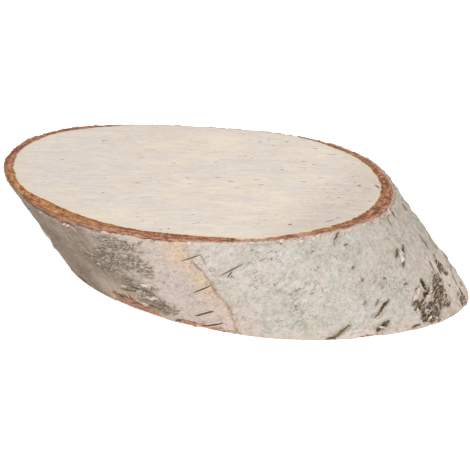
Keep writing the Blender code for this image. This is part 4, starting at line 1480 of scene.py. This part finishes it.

# %% [markdown]
# ## Strips: cracks and curled flakes
# The sharpest marks on the bark are thin: splits that are nearly black, partly the darker bark inside
# them and partly painted shade of their depth, and flakes that have curled up along one side. Both are
# placed one by one, by their two ends and a width, as ragged closed strips on the bark's own surface
# formula, so they follow the bark without a gap. Tone picks the colour.

# %% Strips
# Each row: side and height of both ends, width, how far it curls up, and tone
CURLS_SEEN = (
    (-13.8, 17.4, -9.0, 20.3, 1.5, 0.5, 0.0), (-20.6, 7.2, -13.8, 9.9, 1.3, 0.35, 0.1),
    (-17.6, 5.6, -10.4, 8.2, 1.2, 0.35, 0.1), (-10.6, 4.1, -4.4, 6.3, 0.9, 0.25, 0.35),
    (-38.2, 3.3, -36.6, 1.6, 0.9, 0.3, 0.0), (-100.6, 11.8, -95.0, 12.8, 1.2, 0.35, 0.0),
    (-103.9, 6.8, -97.6, 7.6, 1.4, 0.35, 0.0), (-105.7, 5.3, -98.0, 5.1, 1.3, 0.3, 0.6),
    (-104.9, 3.4, -98.5, 2.9, 1.4, 0.3, 0.6), (-119.0, 4.0, -115.8, 3.2, 1.3, 0.25, 0.9),
    (-118.0, 2.4, -114.2, 2.6, 1.5, 0.25, 1.0), (-114.6, 3.6, -110.6, 3.2, 1.2, 0.25, 0.85),
    (-113.8, 2.0, -109.2, 1.9, 1.4, 0.25, 1.0), (-110.4, 2.8, -106.5, 2.2, 1.2, 0.25, 0.8),
    (-95.4, 2.0, -93.0, 1.3, 1.5, 0.2, 0.9), (-93.6, 0.9, -91.8, 0.6, 0.9, 0.2, 0.8),
    (-87.6, 0.9, -83.4, 1.5, 0.8, 0.1, 1.0), (-57.4, 29.6, -54.0, 29.5, 0.9, 0.3, 0.0),
    (-54.2, 29.6, -50.8, 29.5, 1.0, 0.4, 0.0), (-51.2, 29.6, -48.2, 29.6, 0.9, 0.3, 0.0),
    (-48.7, 29.4, -47.6, 28.7, 0.6, 0.2, 0.7), (8.6, 19.6, 7.0, 17.4, 0.8, 0.15, 0.9),
    (-107.5, 3.9, -104.5, 4.3, 1.0, 0.3, 0.1), (-110.0, 9.0, -106.5, 9.4, 1.0, 0.3, 0.1),
    (-84.0, 0.8, -79.0, 0.9, 0.8, 0.1, 0.5), (-11.6, 8.4, -8.6, 9.6, 0.6, 0.2, 0.3),
    (-19.5, 3.2, -16.0, 4.2, 0.6, 0.3, 0.3), (-8.5, 3.5, -5.8, 4.6, 0.6, 0.3, 0.35),
    (-76.3, 22.8, -75.9, 20.4, 0.4, 0.15, 0.55), (-75.8, 19.6, -75.9, 17.6, 0.4, 0.15, 0.5),
    (-76.1, 16.8, -76.9, 13.2, 0.5, 0.2, 0.6), (-76.3, 10.4, -76.6, 8.6, 0.5, 0.2, 0.55),
    (-72.4, 25.9, -73.2, 22.4, 0.4, 0.1, 0.45), (6.8, 12.0, 5.2, 9.6, 0.5, 0.25, 0.3),
    (-1.8, 8.8, -4.8, 6.6, 0.5, 0.3, 0.4), (-7.2, 8.4, -9.6, 5.4, 0.5, 0.3, 0.4),
)
SCATTERED_CURLS = 34
STRIP_ALONG, STRIP_ACROSS = 27, 6
STRIP_THICKNESS = 0.12
SPLIT_TO_CRACK = 0.72
SPLIT_PROUD, CURL_PROUD = 0.06, 0.12


def curl_places():
    """The flakes in view and more on the far side: two ends, width, how far they curl up, and tone."""
    rng = np.random.default_rng(SCATTER_SEED + 2)
    places = list(CURLS_SEEN)
    for _ in range(SCATTERED_CURLS):
        side, level = rng.uniform(SCATTER_FROM, SCATTER_TO), rng.uniform(2.5, 27.5)
        ends = mark_ends(side, level, rng.uniform(1.5, 4.5))
        width, lift, tone = rng.uniform(0.6, 1.4), rng.uniform(0.2, 0.5), rng.uniform(0.0, 0.7)
        places.append((*ends, width, lift, tone))
    return places


def strips(name, places, proud):
    """Closed ragged strips as one mesh. One long edge of each stands off the bark by its lift.

    The strips stand proud of the bark by a little all over, in millimetres, so that it never covers them.
    """
    lengthways, crossways = np.linspace(0, 1, STRIP_ALONG), np.linspace(-0.5, 0.5, STRIP_ACROSS)
    along, across = np.meshgrid(lengthways, crossways, indexing="ij")
    points, faces, reach, tones = [], [], [], []
    for number, (side, level, side_end, level_end, width, lift, tone) in enumerate(places):
        run, rise = LOG_RADIUS / MM * math.radians(side_end - side), level_end - level
        length = math.hypot(run, rise)
        place = np.stack([along * length * 0.7, 2 * np.sign(across), 0 * along + number * 7.3], axis=-1)
        ragged = 0.85 + 0.65 * noise(place, 140) + 0.55 * noise(place * 2.3, 141)
        taper = np.clip(np.sin(np.pi * (0.03 + 0.94 * along)), 0, 1) ** 0.7
        middle = np.stack([along * length * 0.45, 0 * along, 0 * along + number * 3.1], axis=-1)
        out = across * width * taper * np.clip(ragged, 0.15, 1.6) + 0.35 * width * noise(middle, 143)
        angle = np.radians(side) + (along * run + out * rise / length) * MM / LOG_RADIUS
        height = np.clip((level + along * rise - out * run / length) * MM, 0.15 * MM, THICKNESS - 0.1 * MM)
        relief = bark_surface(angle, height)[0] / MM
        free = (across + 0.5) ** 2.2 * np.sin(np.pi * along) ** 0.6 * (1 + 0.4 * noise(middle * 3, 142))
        toned = tone + 0.14 * noise(middle * 2.5, 144) + 0.10 * (np.abs(along - 0.5) * 2) ** 3
        for shell in (0.0, -STRIP_THICKNESS):
            radius = branch_radius(angle, height) + (relief + proud + lift * free + shell) * MM
            points.append(slab_points(angle, height, radius).reshape(-1, 3))
            reach.append((np.abs(across) * 2).ravel())
            tones.append(np.clip(toned, 0, 1).ravel())
        grid = np.arange(along.size).reshape(along.shape) + 2 * number * along.size
        quads = np.stack([grid[:-1, :-1], grid[:-1, 1:], grid[1:, 1:], grid[1:, :-1]], axis=-1).reshape(-1, 4)
        rim = np.concatenate([grid[:, 0], grid[-1, 1:], grid[-2::-1, -1], grid[0, -2:0:-1]])
        following = np.roll(rim, -1)
        walls = np.stack([rim, following, following + along.size, rim + along.size], axis=-1)
        faces += quads.tolist() + (quads[:, ::-1] + along.size).tolist() + walls.tolist()
    mesh = bpy.data.meshes.new(name)
    mesh.from_pydata(np.concatenate(points).tolist(), [], faces)
    set_masks(mesh, {"reach": np.concatenate(reach), "tone": np.concatenate(tones)})
    turn_outward(mesh)
    return mesh


def turn_outward(mesh):
    """Turns each loose shell so that its faces look outward."""
    shells = bmesh.new()
    shells.from_mesh(mesh)
    bmesh.ops.recalc_face_normals(shells, faces=shells.faces)
    shells.to_mesh(mesh)
    shells.free()


def strip_material(name, colours, edge_colour, edge_share):
    """A finish whose colour runs through a row of colours by tone, browner or paler at the torn edges."""
    material, tree, shader = new_material(name, 0.8)
    tone, reach = attribute(tree, "tone"), attribute(tree, "reach")
    colour, *others = colours
    for number, following in enumerate(others):
        share = ramp(tree, tone, number / len(others), (number + 1) / len(others))
        colour = mix(tree, share, colour, following)
    fine = effect(tree, "grain", size=1.1, low=0.38, high=0.62)
    worn = effect(tree, "grain", size=1.9, low=0.47, high=0.60)
    streaks = effect(tree, "mark_streaks", length=1.8, width=0.8, low=0.48, high=0.60)
    colour = over(tree, colour, ramp(tree, reach, 0.40, 1.0), edge_share, edge_colour)
    colour = over(tree, colour, worn, edge_share, edge_colour)
    colour = over(tree, colour, streaks, 0.45, (126, 104, 84))
    finish_material(tree, shader, colour, fine, 0.08)
    return material


# The splits' dark tones are partly the darker bark inside each crack and partly painted shade of its depth.
split_places = [(*row[:4], SPLIT_TO_CRACK * row[4], 0.0, row[5]) for row in CRACKS]
split_paint = strip_material("split", ((30, 23, 18), (86, 67, 48), (148, 125, 102)), (122, 102, 82), 0.5)
paper_tones = ((216, 205, 193), (192, 173, 157), (146, 129, 102), (170, 118, 90))
paper_paint = strip_material("flake_paper", paper_tones, (164, 142, 122), 0.5)
finished("splits", strips("splits", split_places, SPLIT_PROUD), split_paint)
finished("curled_flakes", strips("curled_flakes", curl_places(), CURL_PROUD), paper_paint)

for solid in list(plate_solids.objects) + list(flake_solids.objects):
    bpy.data.objects.remove(solid, do_unlink=True)

# %% [markdown]
# ## Floor, light and colour
# The slab lies on a light table, as in a catalogue photograph: a white sheet that glows a little, so that
# the shadow stays faint. One large lamp stands on the right in front, a weaker one on the left, and the
# sky is pale. The standard view transform keeps the whites white.

# %% Stage
FLOOR_SIZE = 6.0
FLOOR_DROP = 0.05 * MM
FLOOR_GLOW = 0.62
SKY_STRENGTH = 0.58


def make_floor():
    """A wide white sheet just under the slab."""
    mesh = bpy.data.meshes.new("floor")
    half = FLOOR_SIZE / 2
    corners = [(x * half, y * half, -FLOOR_DROP) for x, y in ((-1, -1), (1, -1), (1, 1), (-1, 1))]
    mesh.from_pydata(corners, [], [(0, 1, 2, 3)])
    material, _, shader = new_material("floor", 0.9)
    shader.inputs["Base Color"].default_value = (0.97, 0.97, 0.97, 1.0)
    # The floor's glow is painted light: it fills the shadow round the slab and lights the bark from below.
    shader.inputs["Emission Color"].default_value = (1.0, 1.0, 1.0, 1.0)
    shader.inputs["Emission Strength"].default_value = FLOOR_GLOW
    mesh.materials.append(material)
    floor = bpy.data.objects.new("floor", mesh)
    bpy.context.scene.collection.objects.link(floor)


def make_lamp(name, azimuth, elevation, distance, size, power):
    """A square lamp that looks at the slab, placed by the same angles as the camera."""
    a, e = math.radians(azimuth), math.radians(elevation)
    back = Vector((math.sin(a) * math.cos(e), -math.cos(a) * math.cos(e), math.sin(e)))
    light = bpy.data.lights.new(name, "AREA")
    light.size = size
    light.energy = power
    lamp = bpy.data.objects.new(name, light)
    lamp.location = back * distance
    lamp.rotation_euler = (-back).to_track_quat("-Z", "Y").to_euler()
    bpy.context.scene.collection.objects.link(lamp)


make_floor()
make_lamp("key", azimuth=42, elevation=44, distance=3.0, size=1.8, power=74)
make_lamp("fill", azimuth=-40, elevation=50, distance=3.0, size=2.4, power=25)
world = bpy.data.worlds.new("studio")
world.use_nodes = True
world.node_tree.nodes["Background"].inputs["Color"].default_value = (1.0, 1.0, 1.0, 1.0)
world.node_tree.nodes["Background"].inputs["Strength"].default_value = SKY_STRENGTH
bpy.context.scene.world = world
bpy.context.scene.view_settings.view_transform = "Standard"
print("lamps:", [light.name for light in bpy.data.lights])
